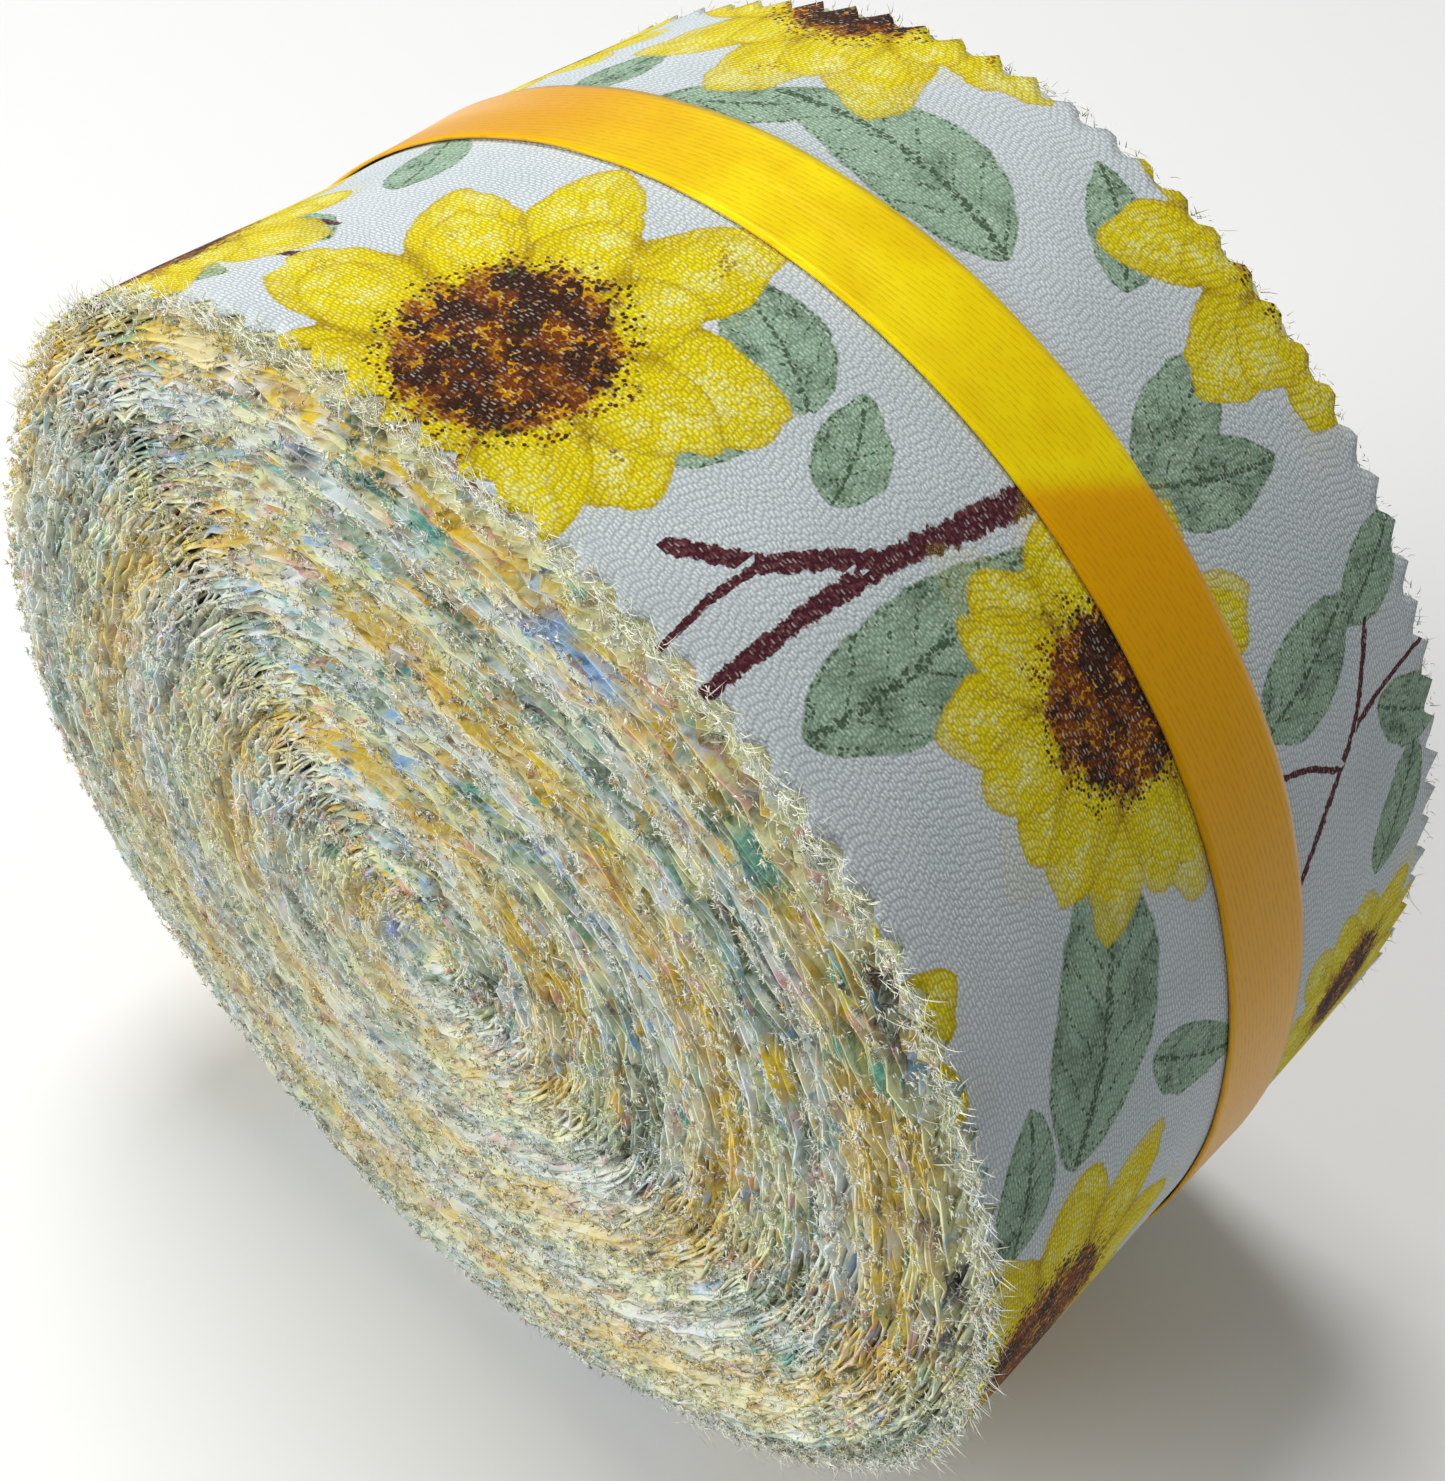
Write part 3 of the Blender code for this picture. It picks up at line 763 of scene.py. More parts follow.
def printed_cotton(settings):
    """Cotton with the sunflower print, its yarns showing through the ink, and painted shade in the weave's
    hollows.
    """
    wiring = Wiring("sunflower_print")
    uv = wiring.coordinates("UV")
    height = weave_height(wiring, uv)
    slub = wiring.noise(wiring.vector("MULTIPLY", uv, (1400.0, 3600.0, 0.0)), 1.0, 2.0)
    cloud = wiring.noise(uv, 90.0, 3.0)
    cloth = wiring.mix(wiring.step(cloud, 0.35, 0.65), settings.cloth, srgb(206, 216, 218))
    print_layer = leaf_colour(wiring, settings, "leaf_b", cloth)
    print_layer = leaf_colour(wiring, settings, "leaf_a", print_layer)
    print_layer = twig_colour(wiring, settings, print_layer)
    print_layer = flower_colour(wiring, settings, print_layer)
    worn = wiring.times(wiring.step(height, 0.50, 1.0), wiring.step(slub, 0.36, 0.66))
    colour = wiring.mix(wiring.times(worn, 0.42), print_layer, srgb(232, 238, 226))
    # Painted shade: the weave's hollows between the yarns are darkened.
    painted_hollow_shade = wiring.step(height, 0.42, 0.05)
    colour = wiring.mix(wiring.times(painted_hollow_shade, 0.36), colour, wiring.mix(0.80, colour, (0.0, 0.0, 0.0)))
    wiring.bump(wiring.plus(height, wiring.times(slub, 0.5)), 0.00009, 0.8)
    return wiring.finish(colour, 0.9, Sheen_Weight=0.05, Sheen_Roughness=0.5, Specular_IOR_Level=0.1)


def wound_cotton(name, reverse):
    """The wound strips' cottons, from their colour attributes; the reverse is paler."""
    if name in bpy.data.materials:
        return bpy.data.materials[name]
    wiring = Wiring(name)
    uv = wiring.coordinates("UV")
    place = wiring.coordinates("Object")
    ground = wiring.attribute("ground", "Color")
    printed = wiring.attribute("print", "Color")
    accent = wiring.attribute("accent", "Color")
    blot = wiring.noise(uv, 330.0, 3.0, 0.6)
    near_blot = wiring.noise(place, 260.0, 3.0, 0.6)
    mixed = wiring.plus(wiring.times(blot, 0.4), wiring.times(near_blot, 0.6))
    colour = wiring.mix(wiring.step(mixed, 0.47, 0.58), ground, printed)
    dots = wiring.noise(wiring.vector("ADD", place, (0.3, 0.1, 0.7)), 420.0, 2.0, 0.6)
    colour = wiring.mix(wiring.times(wiring.step(dots, 0.62, 0.70), 0.75), colour, accent)
    lint = wiring.noise(wiring.vector("MULTIPLY", place, (1.0, 0.5, 1.0)), 2600.0, 3.0, 0.7)
    fluff = 0.55 if reverse else 0.30
    colour = wiring.mix(wiring.times(wiring.step(lint, 0.42, 0.66), fluff), colour, srgb(232, 230, 214))
    if reverse:
        colour = wiring.mix(0.38, colour, srgb(228, 228, 214))
    wiring.bump(lint, 0.00012, 0.7)
    return wiring.finish(colour, 0.9, Sheen_Weight=0.2, Specular_IOR_Level=0.1)


def fibre_material():
    """Loose cotton fibres, each with its own colour."""
    if "loose_fibres" in bpy.data.materials:
        return bpy.data.materials["loose_fibres"]
    wiring = Wiring("loose_fibres")
    shade = wiring.noise(wiring.coordinates("Object"), 1500.0, 2.0)
    colour = wiring.mix(wiring.times(shade, 0.35), wiring.attribute("fibre", "Color"),
                        srgb(250, 248, 236))
    return wiring.finish(colour, 0.9, Sheen_Weight=0.2, Specular_IOR_Level=0.1)


def satin(settings):
    """Woven satin: fine floats along the ribbon, corded edges and a soft sheen, with a painted highlight
    band over the top and painted shade in the weave's furrows.
    """
    wiring = Wiring("golden_satin")
    uv = wiring.coordinates("UV")
    along, across, _ = wiring.split(uv)
    leaning = wiring.scaled(along, 0.10, across)
    thread_place = wiring.join(wiring.times(along, 900.0), wiring.times(leaning, 4200.0))
    threads = wiring.noise(thread_place, 1.0, 2.0, 0.6)
    lines = wiring.math("PINGPONG", wiring.math("DIVIDE", leaning, SATIN_PITCH), 1.0)
    weave = wiring.scaled(lines, 0.45, wiring.times(threads, 0.9))
    cloud = wiring.noise(uv, 120.0, 2.0)
    # Painted highlight: the satin is painted the lit yellow over the painted highlight band and the deeper
    # gold elsewhere.
    bright = wiring.attribute("bright", "Fac")
    lit = wiring.mix(wiring.step(cloud, 0.35, 0.65), settings.colour, srgb(250, 226, 10))
    colour = wiring.mix(bright, settings.shade, lit)
    # Painted shade: the low furrows between the satin's floats are darkened towards brown.
    painted_furrow_shade = wiring.step(weave, 0.62, 0.44)
    colour = wiring.mix(wiring.times(painted_furrow_shade, 0.55), colour, wiring.mix(0.45, colour, srgb(150, 100, 0)))
    selvedge = wiring.attribute("selvedge", "Fac")
    colour = wiring.mix(wiring.times(selvedge, 0.6), colour, srgb(252, 214, 18))
    wiring.bump(weave, 0.00004, 0.7)
    return wiring.finish(
        colour, 0.38, Sheen_Weight=0.15, Sheen_Roughness=0.3, Anisotropic=0.55,
        Specular_IOR_Level=0.55, Specular_Tint=(*srgb(255, 226, 60), 1.0))


def flat_cloth(columns, rows):
    """A flat rectangle of cloth as a bmesh, and its grid shares along and across."""
    mesh_data = bmesh.new()
    bmesh.ops.create_grid(mesh_data, x_segments=columns, y_segments=rows, size=0.5)
    bmesh.ops.reverse_faces(mesh_data, faces=mesh_data.faces[:])
    mesh = bpy.data.meshes.new("cloth")
    mesh_data.to_mesh(mesh)
    mesh_data.free()
    shares = np.empty(len(mesh.vertices) * 3)
    mesh.vertices.foreach_get("co", shares)
    shares = shares.reshape(-1, 3)[:, :2] + 0.5
    return mesh, shares[:, 0], shares[:, 1]


def corner_verts(mesh):
    """The vertex of each face corner."""
    corners = np.empty(len(mesh.loops), dtype=np.int32)
    mesh.loops.foreach_get("vertex_index", corners)
    return corners


def set_uv(mesh, along, across):
    """Give the mesh a UV map of its flat cloth coordinates, in metres."""
    layer = mesh.uv_layers.new(name="flat_cloth")
    corners = corner_verts(mesh)
    layer.data.foreach_set("uv", np.stack([along[corners], across[corners]], 1).astype(np.float32).ravel())


def set_attribute(mesh, name, values, kind, domain):
    """Write an array as an attribute of the mesh."""
    attribute = mesh.attributes.new(name, kind, domain)
    key = {"FLOAT": "value", "FLOAT_VECTOR": "vector", "FLOAT_COLOR": "color"}[kind]
    if kind == "FLOAT_COLOR":
        values = np.concatenate([values, np.ones((len(values), 1))], 1)
    attribute.data.foreach_set(key, np.ascontiguousarray(values, dtype=np.float32).ravel())


def move_points(mesh, points):
    """Put the mesh's vertices at the points."""
    mesh.vertices.foreach_set("co", np.ascontiguousarray(points, dtype=np.float32).ravel())
    mesh.update()


def add_piece(name, mesh, materials, replaced):
    """Link a finished mesh as a piece of the roll that stands for a node."""
    mesh.name = name
    for material in materials:
        mesh.materials.append(material)
    mesh.shade_smooth()
    piece = bpy.data.objects.new(name, mesh)
    bpy.context.scene.collection.objects.link(piece)
    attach(piece, "root")
    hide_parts(replaced)
    return piece


def thicken(piece, thickness, reverse_offset=0):
    """Give a sheet its real thickness, with its reverse in the next material."""
    solid = piece.modifiers.new("Thickness", "SOLIDIFY")
    solid.thickness = thickness
    solid.offset = 0.0
    solid.use_even_offset = False
    solid.material_offset = reverse_offset


def start_radius(settings):
    """Radius of the outermost strip's middle at its free end."""
    return ROLL_RADIUS - settings.thickness / 2


def wound_angle(settings, length):
    """Angle wound from the free end after a length of strip, in radians."""
    start = start_radius(settings)
    return (start - np.sqrt(start * start - settings.pitch * length / math.pi)) * math.tau / settings.pitch


def strip_length_at(settings, angle):
    """Length of strip wound after an angle from the free end, in radians."""
    return start_radius(settings) * angle - settings.pitch * angle * angle / (2 * math.tau)


def length_to_radius(settings, radius):
    """Length of strip wound from the free end down to a radius."""
    return math.pi * (start_radius(settings) ** 2 - radius ** 2) / settings.pitch


def tooth_wave(along, seed):
    """0 at the tips of the pinked teeth and 1 in the notches, a little uneven."""
    phase = along / TOOTH_PITCH + 0.06 * slow_noise(along, 0.011, seed)
    return 1.0 - np.abs(2.0 * (phase % 1.0) - 1.0)


def nearest_motifs(along, depth, places, sizes):
    """Each point's two nearest motifs, by distance in motif sizes."""
    offset = np.stack([along[:, None] - places[None, :, 0], depth[:, None] - places[None, :, 1]], 2)
    reach = np.linalg.norm(offset, axis=2) / sizes[None, :]
    return np.sort(np.argsort(reach, axis=1)[:, :2], axis=1), np.argmin(reach, axis=1)


def print_places(settings, items):
    """Every repeat of the print's motifs: the item and its flat place on the strip."""
    whole = strip_length_at(settings, math.radians(PRINT_TURN))
    found = []
    for item in items:
        base = strip_length_at(settings, math.radians(item.angle - FREE_END_ANGLE))
        for repeat in range(-3, 4):
            along = base + repeat * PRINT_REPEAT
            if -0.03 < along < whole + 0.03:
                found.append((item, along, item.depth))
    return found


def local_frame(along, depth, centre, turn, size):
    """Coordinates about a motif's centre, turned and in its size."""
    across = along - centre[..., 0]
    down = depth - centre[..., 1]
    return np.stack([(across * np.cos(turn) + down * np.sin(turn)) / size,
                     (down * np.cos(turn) - across * np.sin(turn)) / size], -1)


def lay_print(mesh, settings, along, depth):
    """Lay the sunflower print on the flat strip, as attributes of its face corners."""
    corners = corner_verts(mesh)
    face_of = np.arange(len(corners)) // 4
    corner_along = along[corners]
    corner_depth = depth[corners]
    face_along = corner_along.reshape(-1, 4).mean(1)
    face_depth = corner_depth.reshape(-1, 4).mean(1)

    flowers = print_places(settings, FLOWERS)
    places = np.array([(spot, down) for _, spot, down in flowers])
    sizes = np.array([item.petal for item, _, _ in flowers])
    turns = np.radians([item.turn for item, _, _ in flowers])
    nearest = nearest_motifs(face_along, face_depth, places, sizes)[1][face_of]
    local = local_frame(corner_along, corner_depth, places[nearest], turns[nearest], sizes[nearest])
    seeds = (np.arange(len(flowers)) * 1.7 + 0.3)[nearest]
    set_attribute(mesh, "flower", np.column_stack([local, seeds]), "FLOAT_VECTOR", "CORNER")

    leaves = print_places(settings, LEAVES)
    places = np.array([(spot, down) for _, spot, down in leaves])
    sizes = np.array([item.length / 2 for item, _, _ in leaves])
    widths = np.array([item.width / item.length for item, _, _ in leaves])
    turns = np.radians([item.turn for item, _, _ in leaves])
    pairs = nearest_motifs(face_along, face_depth, places, sizes)[0][face_of]
    for name, chosen in (("leaf_a", pairs[:, 0]), ("leaf_b", pairs[:, 1])):
        local = local_frame(corner_along, corner_depth, places[chosen], turns[chosen], sizes[chosen])
        seeds = chosen * 2.3 + 0.7
        set_attribute(mesh, name, np.column_stack([local, seeds]), "FLOAT_VECTOR", "CORNER")
        set_attribute(mesh, name + "_width", widths[chosen], "FLOAT", "CORNER")

    lay_twigs(mesh, settings, (corner_along, corner_depth), (face_along, face_depth), face_of)


def twig_pieces(settings):
    """The twigs as short straight pieces: ends, half widths at both ends, place along, seed."""
    rows = []
    whole = strip_length_at(settings, math.radians(PRINT_TURN))
    for seed, twig in enumerate(TWIGS):
        points = np.array([(strip_length_at(settings, math.radians(angle - FREE_END_ANGLE)), depth)
                           for angle, depth in twig.points])
        fine = np.linspace(0, len(points) - 1, 6 * len(points))
        smooth = np.stack([np.interp(fine, np.arange(len(points)), points[:, axis]) for axis in (0, 1)], 1)
        for _ in range(3):
            smooth[1:-1] = (smooth[:-2] + 2 * smooth[1:-1] + smooth[2:]) / 4
        widths = np.linspace(twig.start_width, twig.end_width, len(smooth)) / 2
        run = np.concatenate([[0], np.cumsum(np.linalg.norm(np.diff(smooth, axis=0), axis=1))])
        for repeat in range(-3, 4):
            shift = repeat * PRINT_REPEAT
            if not -0.03 < smooth[0, 0] + shift < whole + 0.03:
                continue
            for index in range(len(smooth) - 1):
                start = smooth[index] + (shift, 0)
                end = smooth[index + 1] + (shift, 0)
                rows.append((*start, *end, widths[index], run[index], seed * 3.1 + repeat))
    return np.array(rows)


def lay_twigs(mesh, settings, corner_place, face_place, face_of):
    """Store each face corner's offset from its nearest twig, in half widths."""
    rows = twig_pieces(settings)
    start, end = rows[:, 0:2], rows[:, 2:4]
    way = end - start
    length = np.linalg.norm(way, axis=1)
    way = way / length[:, None]
    best = np.full(len(face_place[0]), np.inf)
    chosen = np.zeros(len(best), dtype=int)
    for index in range(len(rows)):
        across = face_place[0] - start[index, 0]
        down = face_place[1] - start[index, 1]
        along = np.clip(across * way[index, 0] + down * way[index, 1], 0.0, length[index])
        gap = np.hypot(across - along * way[index, 0], down - along * way[index, 1])
        closer = gap < best
        best[closer] = gap[closer]
        chosen[closer] = index
    chosen = chosen[face_of]
    across = corner_place[0] - start[chosen, 0]
    down = corner_place[1] - start[chosen, 1]
    along = across * way[chosen, 0] + down * way[chosen, 1]
    off = (down * way[chosen, 0] - across * way[chosen, 1]) / rows[chosen, 4]
    far = np.repeat(best > 0.003, 4)
    off[far] = 50.0
    values = np.column_stack([off, along + rows[chosen, 5], rows[chosen, 6]])
    set_attribute(mesh, "twig", values, "FLOAT_VECTOR", "CORNER")


def make_outer_strip(settings):
    """The outermost strip: once round the roll, with the sunflower print."""
    mesh, along, across = flat_cloth(OUTER_COLUMNS, OUTER_ROWS)
    whole = strip_length_at(settings, math.radians(OUTER_TURN))
    along = along * whole
    near_edge = settings.tooth_depth * tooth_wave(along, 3) + 0.00015 * slow_noise(along, 0.0009, 4)
    far_edge = STRIP_WIDTH - settings.tooth_depth * tooth_wave(along, 5)
    depth = near_edge + across * (far_edge - near_edge)
    set_uv(mesh, along, depth)
    lay_print(mesh, settings, along, depth)
    wound = wound_angle(settings, along)
    angle = math.radians(FREE_END_ANGLE) + wound
    radius = start_radius(settings) - settings.pitch * wound / math.tau
    edge_curl = np.exp(-depth / 0.0012) + np.exp(-(STRIP_WIDTH - depth) / 0.0012)
    radius = radius + edge_curl * 0.00018 * slow_noise(along, 0.0031, 6)
    radius = radius + 0.00008 * field_noise(along / 0.013, depth / 0.011, 8)
    under_ribbon = smooth_step((0.0058 - np.abs(depth - RIBBON_MIDDLE)) / 0.0006)
    points = place_on_roll(radius, angle, depth, 0.00045 * under_ribbon)
    move_points(mesh, points)
    piece = add_piece("outer_strip", mesh, [printed_cotton(settings), wound_cotton("print_reverse", True)],
                      "strip_roll")
    white = np.tile(srgb(222, 226, 216), (len(mesh.vertices), 1))
    for name in COTTON_COLOURS:
        set_attribute(mesh, name, white, "FLOAT_COLOR", "POINT")
    thicken(piece, settings.thickness, 1)
    return piece


def make_wound_strips(settings, kind):
    """A length of joined strips wound from an outer to an inner radius."""
    begin = length_to_radius(settings, kind.outer)
    end = length_to_radius(settings, kind.inner)
    length = end - begin
    columns = int(round(length / kind.column))
    rows = kind.rows
    mesh, share, across = flat_cloth(columns, rows)
    row = np.rint(across * rows).astype(int)
    column = np.rint(share * columns).astype(int)
    along = begin + share * length
    random = np.random.default_rng(kind.seed)
    ragged = random.uniform(0.0, kind.ragged, columns + 1)[column]
    notch = kind.teeth * settings.tooth_depth * tooth_wave(along, kind.seed) + ragged + EDGE_RECESS
    inner_rows = np.linspace(RAW_EDGE_DEPTH, STRIP_WIDTH - RAW_EDGE_DEPTH, rows - 1)
    depth = inner_rows[np.clip(row - 1, 0, rows - 2)]
    depth = np.where(row == 0, notch, np.where(row == rows, STRIP_WIDTH - notch, depth))
    set_uv(mesh, along, depth)
    wound = wound_angle(settings, along)
    angle = math.radians(FREE_END_ANGLE) + wound
    radius = start_radius(settings) - settings.pitch * wound / math.tau
    lift = face_lift(radius, angle % math.tau)
    calm = smooth_step((0.0580 - radius) / 0.001) * smooth_step((radius - HOLLOW_RADIUS) / 0.004)
    lift = lift + calm * (0.00034 * slow_noise(along, 0.41, 21) + 0.00026 * slow_noise(along, 0.09, 22))
    lift = lift + calm * 0.00016 * slow_noise(along, 0.012, 23)
    at_edge = (row == 0) | (row == rows)
    bend = random.normal(0.0, kind.bend, columns + 1)[column] * at_edge * calm
    points = place_on_roll(radius + bend, angle, depth)
    points[:, 1] -= lift
    move_points(mesh, points)
    near_side = (depth < STRIP_WIDTH / 2).astype(float)
    colours = cotton_colours(radius, angle % math.tau, near_side)
    for label, values in zip(COTTON_COLOURS, colours):
        set_attribute(mesh, label, values, "FLOAT_COLOR", "POINT")
    materials = [wound_cotton("wound_cotton", False), wound_cotton("wound_cotton_reverse", True)]
    piece = add_piece(kind.name, mesh, materials, "strip_roll")
    thicken(piece, settings.thickness, 1)
    return piece


def fibre_copies(count, joints):
    """Many copies of one thin pointed fibre as a mesh, and its points copy by copy."""
    mesh_data = bmesh.new()
    bmesh.ops.create_cone(mesh_data, cap_ends=True, segments=3, radius1=1.0, radius2=0.0, depth=1.0,
                          matrix=Matrix.Translation((0, 0, 0.5)))
    for joint in range(1, joints):
        everything = mesh_data.verts[:] + mesh_data.edges[:] + mesh_data.faces[:]
        bmesh.ops.bisect_plane(mesh_data, geom=everything, dist=0.00001, plane_co=(0, 0, joint / joints),
                               plane_no=(0, 0, 1))
    base = bpy.data.meshes.new("fibre_base")
    mesh_data.to_mesh(base)
    mesh_data.free()
    size = len(base.vertices)
    holder = bpy.data.objects.new("fibre_base", base)
    bpy.context.scene.collection.objects.link(holder)
    array = holder.modifiers.new("Copies", "ARRAY")
    array.count = count
    array.use_relative_offset = False
    array.use_constant_offset = True
    array.constant_offset_displace = (4.0, 0.0, 0.0)
    depsgraph = bpy.context.evaluated_depsgraph_get()
    mesh = bpy.data.meshes.new_from_object(holder.evaluated_get(depsgraph))
    bpy.data.objects.remove(holder, do_unlink=True)
    bpy.data.meshes.remove(base)
    co = np.empty(len(mesh.vertices) * 3)
    mesh.vertices.foreach_get("co", co)
    co = co.reshape(count, size, 3)
    co[:, :, 0] -= 4.0 * np.arange(count)[:, None]
    return mesh, co


def lay_fibres(mesh, co, root, first, bend, length, thick):
    """Bend each fibre from its root along its first direction, curling towards bend."""
    share = co[:, :, 2:3]
    width = np.hypot(co[:, :, 0:1], co[:, :, 1:2])
    first = first[:, None, :]
    bend = bend[:, None, :]
    length = length[:, None, None]
    centre = root[:, None, :] + length * (first * share + bend * share * share)
    along = first + 2.0 * bend * share
    along /= np.linalg.norm(along, axis=2, keepdims=True) + 1e-9
    side = np.cross(along, np.array((0.31, 0.87, 0.38)))
    side /= np.linalg.norm(side, axis=2, keepdims=True) + 1e-9
    other = np.cross(along, side)
    even = np.where(width > 1e-6, np.sqrt(1.0 - 0.8 * share) / np.maximum(width, 1e-6), 0.0)
    points = centre + thick[:, None, None] * even * (co[:, :, 0:1] * side + co[:, :, 1:2] * other)
    move_points(mesh, points.reshape(-1, 3))


def fibre_field(kind):
    """Loose fibres over one face of the roll, rooted in the cut edges."""
    count = kind.count
    random = np.random.default_rng(kind.seed)
    mesh, co = fibre_copies(count, kind.joints)
    tufts = count // TUFT_SIZE[kind.joints] + 1
    tuft = np.arange(count) // TUFT_SIZE[kind.joints]
    radius = np.sqrt(random.uniform(kind.inner ** 2, kind.outer ** 2, tufts))[tuft]
    angle = random.uniform(math.radians(kind.start), math.radians(kind.end), tufts)[tuft]
    inset = random.uniform(0.0, kind.inset, tufts)[tuft]
    shade = random.uniform(0.0, 1.0, tufts)[tuft][:, None]
    spread = random.normal(0.0, TUFT_SPREAD, (count, 2))
    radius = np.clip(radius + spread[:, 0], 0.0012, kind.outer)
    angle = angle + spread[:, 1] / radius
    if kind.side > 0:
        inset = STRIP_WIDTH - inset
    root = place_on_roll(radius, angle, inset)
    root[:, 1] -= face_lift(radius, angle % math.tau)
    zero = np.zeros(count)
    round_way = np.stack([-np.sin(angle), zero, np.cos(angle)], 1)
    out_way = np.stack([np.cos(angle), zero, np.sin(angle)], 1)
    face_way = np.array([0.0, float(kind.side), 0.0])
    spread = random.normal(0.0, 1.0, (count, 2))
    first = (face_way * random.uniform(kind.upright * 0.3, kind.upright, count)[:, None]
             + round_way * spread[:, :1] + out_way * (0.7 * spread[:, 1:] + kind.outward))
    first /= np.linalg.norm(first, axis=1, keepdims=True)
    bend = (round_way * random.normal(0.0, kind.curl, count)[:, None]
            + out_way * random.normal(0.0, kind.curl, count)[:, None]
            - face_way * random.uniform(0.0, kind.curl, count)[:, None])
    length = kind.shortest + (kind.longest - kind.shortest) * random.uniform(0.0, 1.0, count) ** 2.2
    length = length / (1.0 + 0.6 * np.linalg.norm(bend, axis=1))
    thick = kind.thick * random.uniform(0.6, 1.4, count)
    lay_fibres(mesh, co, root, first, bend, length, thick)
    near = np.full(count, 1.0 if kind.side < 0 else 0.0)
    ground, printed, accent = cotton_colours(radius, angle % math.tau, near)
    pick = shade + 0.25 * field_noise(angle * 14.0, radius / 0.0022, 71)[:, None]
    colour = np.where(pick > 0.62, printed, ground)
    colour = np.where(pick > 1.12, accent, colour)
    pale = np.where(shade * 7.0 % 1.0 > BLEACHED, 0.85, kind.pale)
    colour = colour * (1.0 - pale) + np.array(srgb(246, 246, 232)) * pale
    set_attribute(mesh, "fibre", np.repeat(colour, co.shape[1], axis=0), "FLOAT_COLOR", "POINT")
    return add_piece(kind.name, mesh, [fibre_material()], "strip_roll")


def make_ribbon(settings):
    """The satin ribbon, once round the roll with its end lapped over its start and a soft crease, and a
    painted highlight band over its top from the crease on.
    """
    mesh, share, across = flat_cloth(RIBBON_COLUMNS, RIBBON_ROWS)
    lap = math.radians(LAP_TURN)
    base = ROLL_RADIUS + 0.00006 + settings.thickness / 2
    wound = share * (math.tau + lap)
    angle = math.radians(LAP_ANGLE) + wound
    whole = base * (math.tau + lap)
    half = settings.width / 2
    off = (across - 0.5) * settings.width
    set_uv(mesh, share * whole, across * settings.width)
    over = 0.00036 * (1.0 - smooth_step((wound - lap) / 0.14))
    selvedge = np.exp(-((half - np.abs(off) - 0.00035) / 0.00022) ** 2)
    ticks = 0.5 + 0.5 * np.sin(share * whole * math.tau / 0.0011)
    radius = base + over + 0.00010 * selvedge * (0.7 + 0.3 * ticks)
    radius = radius + 0.00004 * field_noise(wound * 9.0, across * 3.0 + 5.0, 31)
    crease_angle = CREASE_ANGLE - CREASE_LEAN * off / settings.width
    crease = np.exp(-((np.degrees(angle) % 360.0 - crease_angle) / 0.8) ** 2)
    radius = radius - 0.00010 * crease
    edge_wave = 0.00008 * slow_noise(share * whole, 0.006, 33)
    depth = RIBBON_MIDDLE + off + edge_wave
    points = place_on_roll(radius, angle, np.full_like(depth, RIBBON_MIDDLE))
    points[:, 1] = NEAR_EDGE_Y + depth
    points[:, 2] = np.maximum(points[:, 2], settings.thickness / 2)
    move_points(mesh, points)
    # Painted highlight: from the crease up over the top the satin is painted the lit yellow, fading out
    # between 82 and 112 degrees; elsewhere it keeps the deeper gold.
    degrees = np.degrees(angle) % 360.0
    bright = smooth_step((degrees - crease_angle + 1.0) / 2.0) * smooth_step((112.0 - degrees) / 30.0)
    set_attribute(mesh, "bright", bright, "FLOAT", "POINT")
    set_attribute(mesh, "selvedge", selvedge * (0.5 + 0.5 * ticks), "FLOAT", "POINT")
    piece = add_piece("satin_band", mesh, [satin(settings)], "ribbon")
    thicken(piece, settings.thickness)
    return piece


def look_from(place, back, up):
    """A matrix for a camera or light at a place, from its backward and upward directions."""
    back = Vector(back).normalized()
    right = Vector(up).cross(back).normalized()
    turned = Matrix((right, back.cross(right), back)).transposed().to_4x4()
    return Matrix.Translation(place) @ turned


def make_camera():
    """The camera at the photograph's place and angle."""
    lens = bpy.data.cameras.new("camera")
    lens.sensor_width = 36.0
    lens.sensor_fit = "AUTO"
    lens.lens = lens.sensor_width * FOCAL_PIXELS / PHOTO_HEIGHT
    lens.clip_start = 0.01
    camera = bpy.data.objects.new("camera", lens)
    place = Vector((AXIS_X, NEAR_EDGE_Y, FLAT_HEIGHT)) + Vector(CAMERA_OFFSET)
    camera.matrix_world = look_from(place, CAMERA_BACK, (0, 0, 1))
    bpy.context.scene.collection.objects.link(camera)
    bpy.context.scene.camera = camera


def make_floor(settings):
    """A plain pale floor under the roll."""
    mesh_data = bmesh.new()
    bmesh.ops.create_grid(mesh_data, x_segments=1, y_segments=1, size=3.0)
    mesh = bpy.data.meshes.new("floor")
    mesh_data.to_mesh(mesh)
    mesh_data.free()
    wiring = Wiring("floor")
    speckle = wiring.noise(wiring.coordinates("Object"), 40.0, 2.0)
    colour = wiring.mix(wiring.times(speckle, 0.04), settings.floor, (0.8, 0.8, 0.8))
    mesh.materials.append(wiring.finish(colour, 0.9))
    floor = bpy.data.objects.new("floor", mesh)
    floor.location.z = -0.0002
    bpy.context.scene.collection.objects.link(floor)


def add_light(name, place, target, size, power, colour):
    """A square area light at a place, aimed at a target."""
    light = bpy.data.lights.new(name, "AREA")
    light.shape = "SQUARE"
    light.size = size
    light.energy = power
    light.color = colour
    item = bpy.data.objects.new(name, light)
    back = Vector(place) - Vector(target)
    item.matrix_world = look_from(place, back, (0, 1, 0.01))
    bpy.context.scene.collection.objects.link(item)


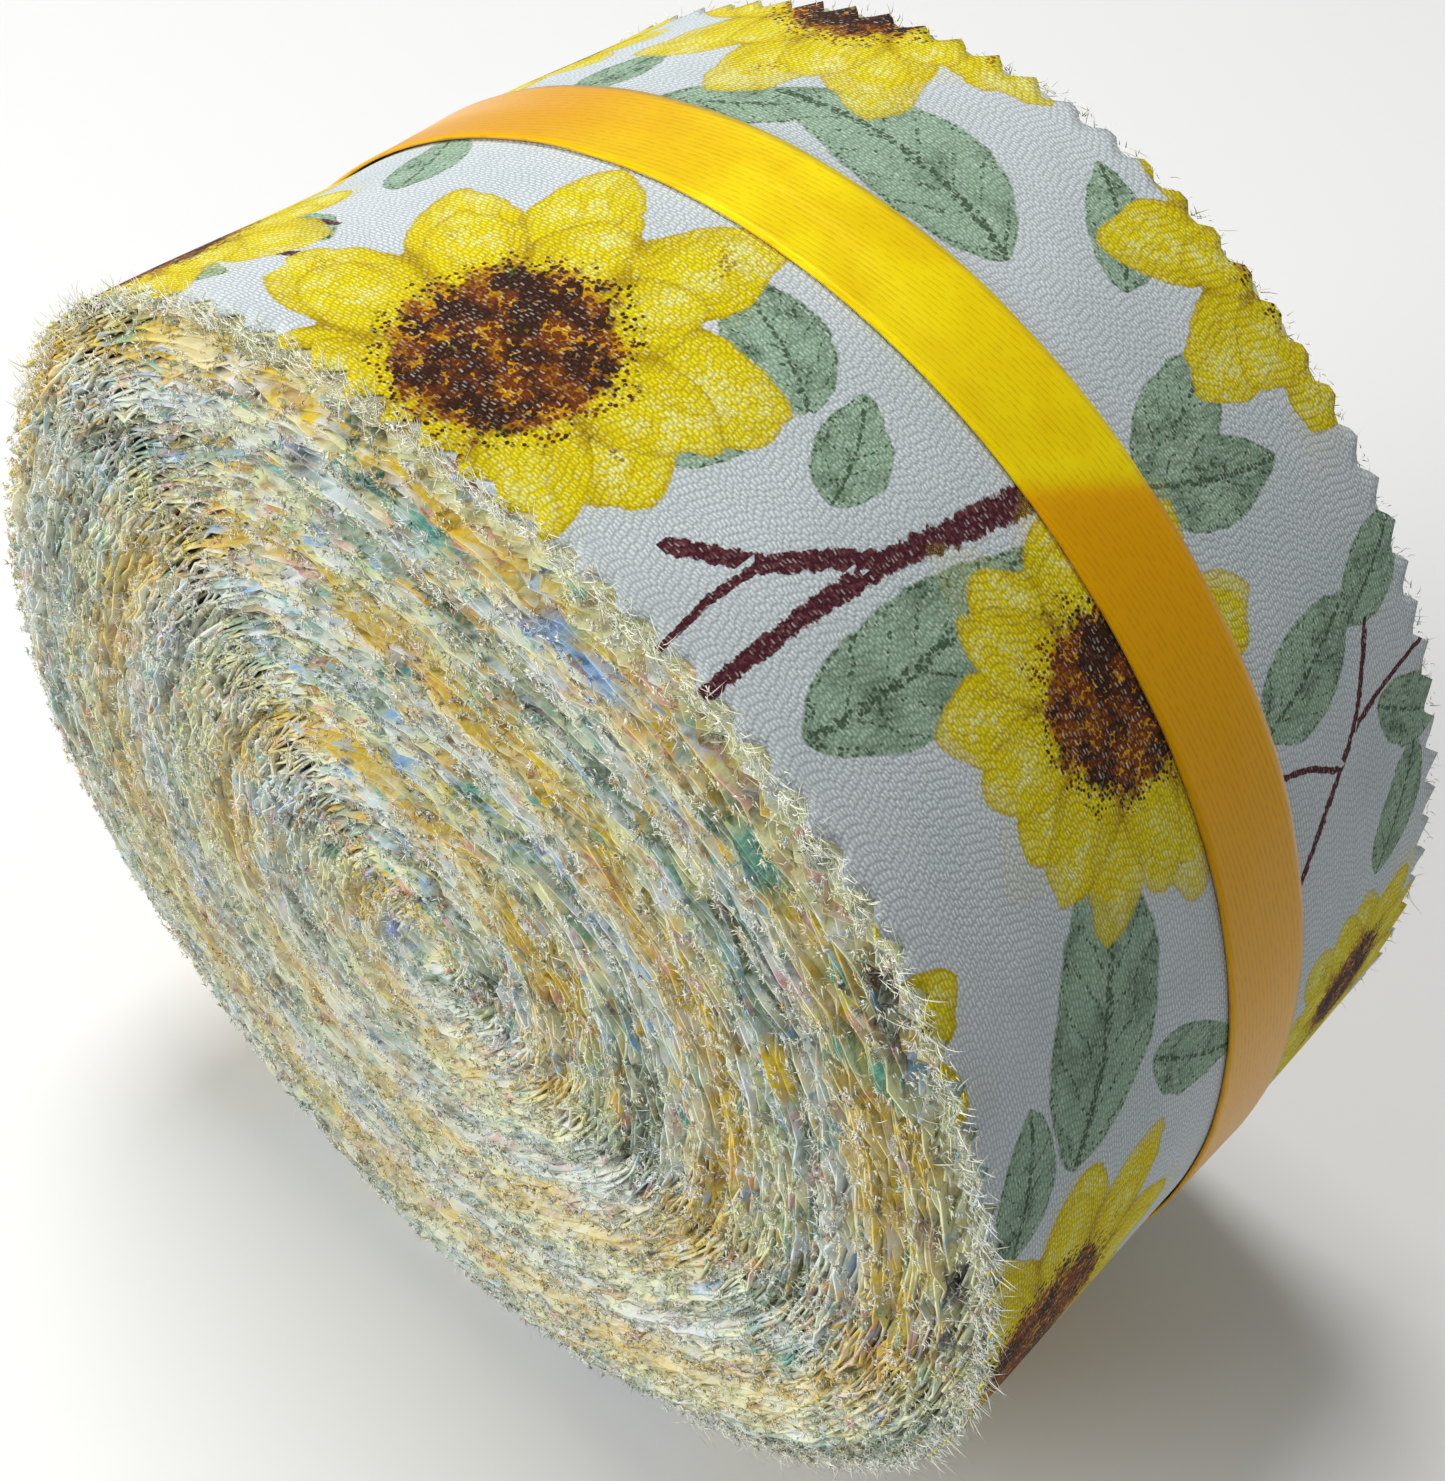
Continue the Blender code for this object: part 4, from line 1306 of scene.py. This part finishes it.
def make_lights(settings):
    """A soft light overhead, one at the left before the near face and light from all round."""
    middle = (0.0, 0.0, FLAT_HEIGHT)
    add_light("key", (-0.22, 0.12, 0.85), middle, 0.30, settings.key, (1.0, 0.99, 0.97))
    add_light("front", (-0.50, -0.72, 0.40), middle, 0.6, settings.front, (0.98, 0.99, 1.0))
    world = bpy.data.worlds.new("studio")
    world.use_nodes = True
    background = world.node_tree.nodes["Background"]
    background.inputs["Color"].default_value = (0.97, 0.98, 1.0, 1.0)
    background.inputs["Strength"].default_value = settings.fill
    bpy.context.scene.world = world
    bpy.context.scene.view_settings.view_transform = "Standard"


class JELLYROLL_OT_stage(bpy.types.Operator):
    """Set up the camera, the floor and the lights"""
    bl_idname = "jelly_roll.stage"
    bl_label = "Studio"

    def execute(self, context):
        settings = context.scene.jelly_roll_studio
        make_camera()
        make_floor(settings)
        make_lights(settings)
        return {"FINISHED"}


class JELLYROLL_OT_outer_strip(bpy.types.Operator):
    """Make the printed outermost strip"""
    bl_idname = "jelly_roll.outer_strip"
    bl_label = "Outer Strip"

    def execute(self, context):
        make_outer_strip(context.scene.jelly_roll_strips)
        return {"FINISHED"}


class JELLYROLL_OT_wound_strips(bpy.types.Operator):
    """Make the strips wound inside the outermost one, down to the eye of the roll"""
    bl_idname = "jelly_roll.wound_strips"
    bl_label = "Wound Strips"

    def execute(self, context):
        settings = context.scene.jelly_roll_strips
        second_turn = start_radius(settings) - settings.pitch
        for index, kind in enumerate(WOUND_KINDS):
            outer = second_turn if index == 0 else kind.outer
            make_wound_strips(settings, kind._replace(outer=outer))
        return {"FINISHED"}


class JELLYROLL_OT_ribbon(bpy.types.Operator):
    """Make the satin ribbon round the roll"""
    bl_idname = "jelly_roll.ribbon"
    bl_label = "Ribbon"

    def execute(self, context):
        make_ribbon(context.scene.jelly_roll_ribbon)
        return {"FINISHED"}


class JELLYROLL_OT_frays(bpy.types.Operator):
    """Make the loose threads and fuzz on both faces of the roll"""
    bl_idname = "jelly_roll.frays"
    bl_label = "Frayed Edges"

    def execute(self, context):
        settings = context.scene.jelly_roll_fray
        for kind in FIBRE_KINDS:
            count = settings.fuzz if kind.joints == 1 else settings.threads
            thick = kind.thick * settings.radius
            fibre_field(kind._replace(count=int(kind.count * count), thick=thick))
        return {"FINISHED"}


class JELLYROLL_PT_panel(bpy.types.Panel):
    """Buttons for each part of the roll"""
    bl_label = "Jelly Roll"
    bl_idname = "JELLYROLL_PT_panel"
    bl_space_type = "VIEW_3D"
    bl_region_type = "UI"
    bl_category = "Jelly Roll"

    def draw(self, context):
        for operator in OPERATORS:
            self.layout.operator(operator.bl_idname)
        for group in SETTINGS:
            box = self.layout.box()
            for name in SETTINGS[group].__annotations__:
                box.prop(getattr(context.scene, group), name)


OPERATORS = (
    JELLYROLL_OT_stage,
    JELLYROLL_OT_wound_strips,
    JELLYROLL_OT_outer_strip,
    JELLYROLL_OT_ribbon,
    JELLYROLL_OT_frays,
)
SETTINGS = {
    "jelly_roll_strips": StripSettings,
    "jelly_roll_ribbon": RibbonSettings,
    "jelly_roll_fray": FraySettings,
    "jelly_roll_studio": StudioSettings,
}


def register():
    for name, group in SETTINGS.items():
        bpy.utils.register_class(group)
        setattr(bpy.types.Scene, name, PointerProperty(type=group))
    for kind in (*OPERATORS, JELLYROLL_PT_panel):
        bpy.utils.register_class(kind)


def unregister():
    for kind in (JELLYROLL_PT_panel, *reversed(OPERATORS)):
        bpy.utils.unregister_class(kind)
    for name, group in SETTINGS.items():
        delattr(bpy.types.Scene, name)
        bpy.utils.unregister_class(group)


def main():
    register()
    bpy.ops.jelly_roll.stage()
    bpy.ops.jelly_roll.wound_strips()
    bpy.ops.jelly_roll.outer_strip()
    bpy.ops.jelly_roll.ribbon()
    bpy.ops.jelly_roll.frays()


if __name__ == "__main__":
    main()
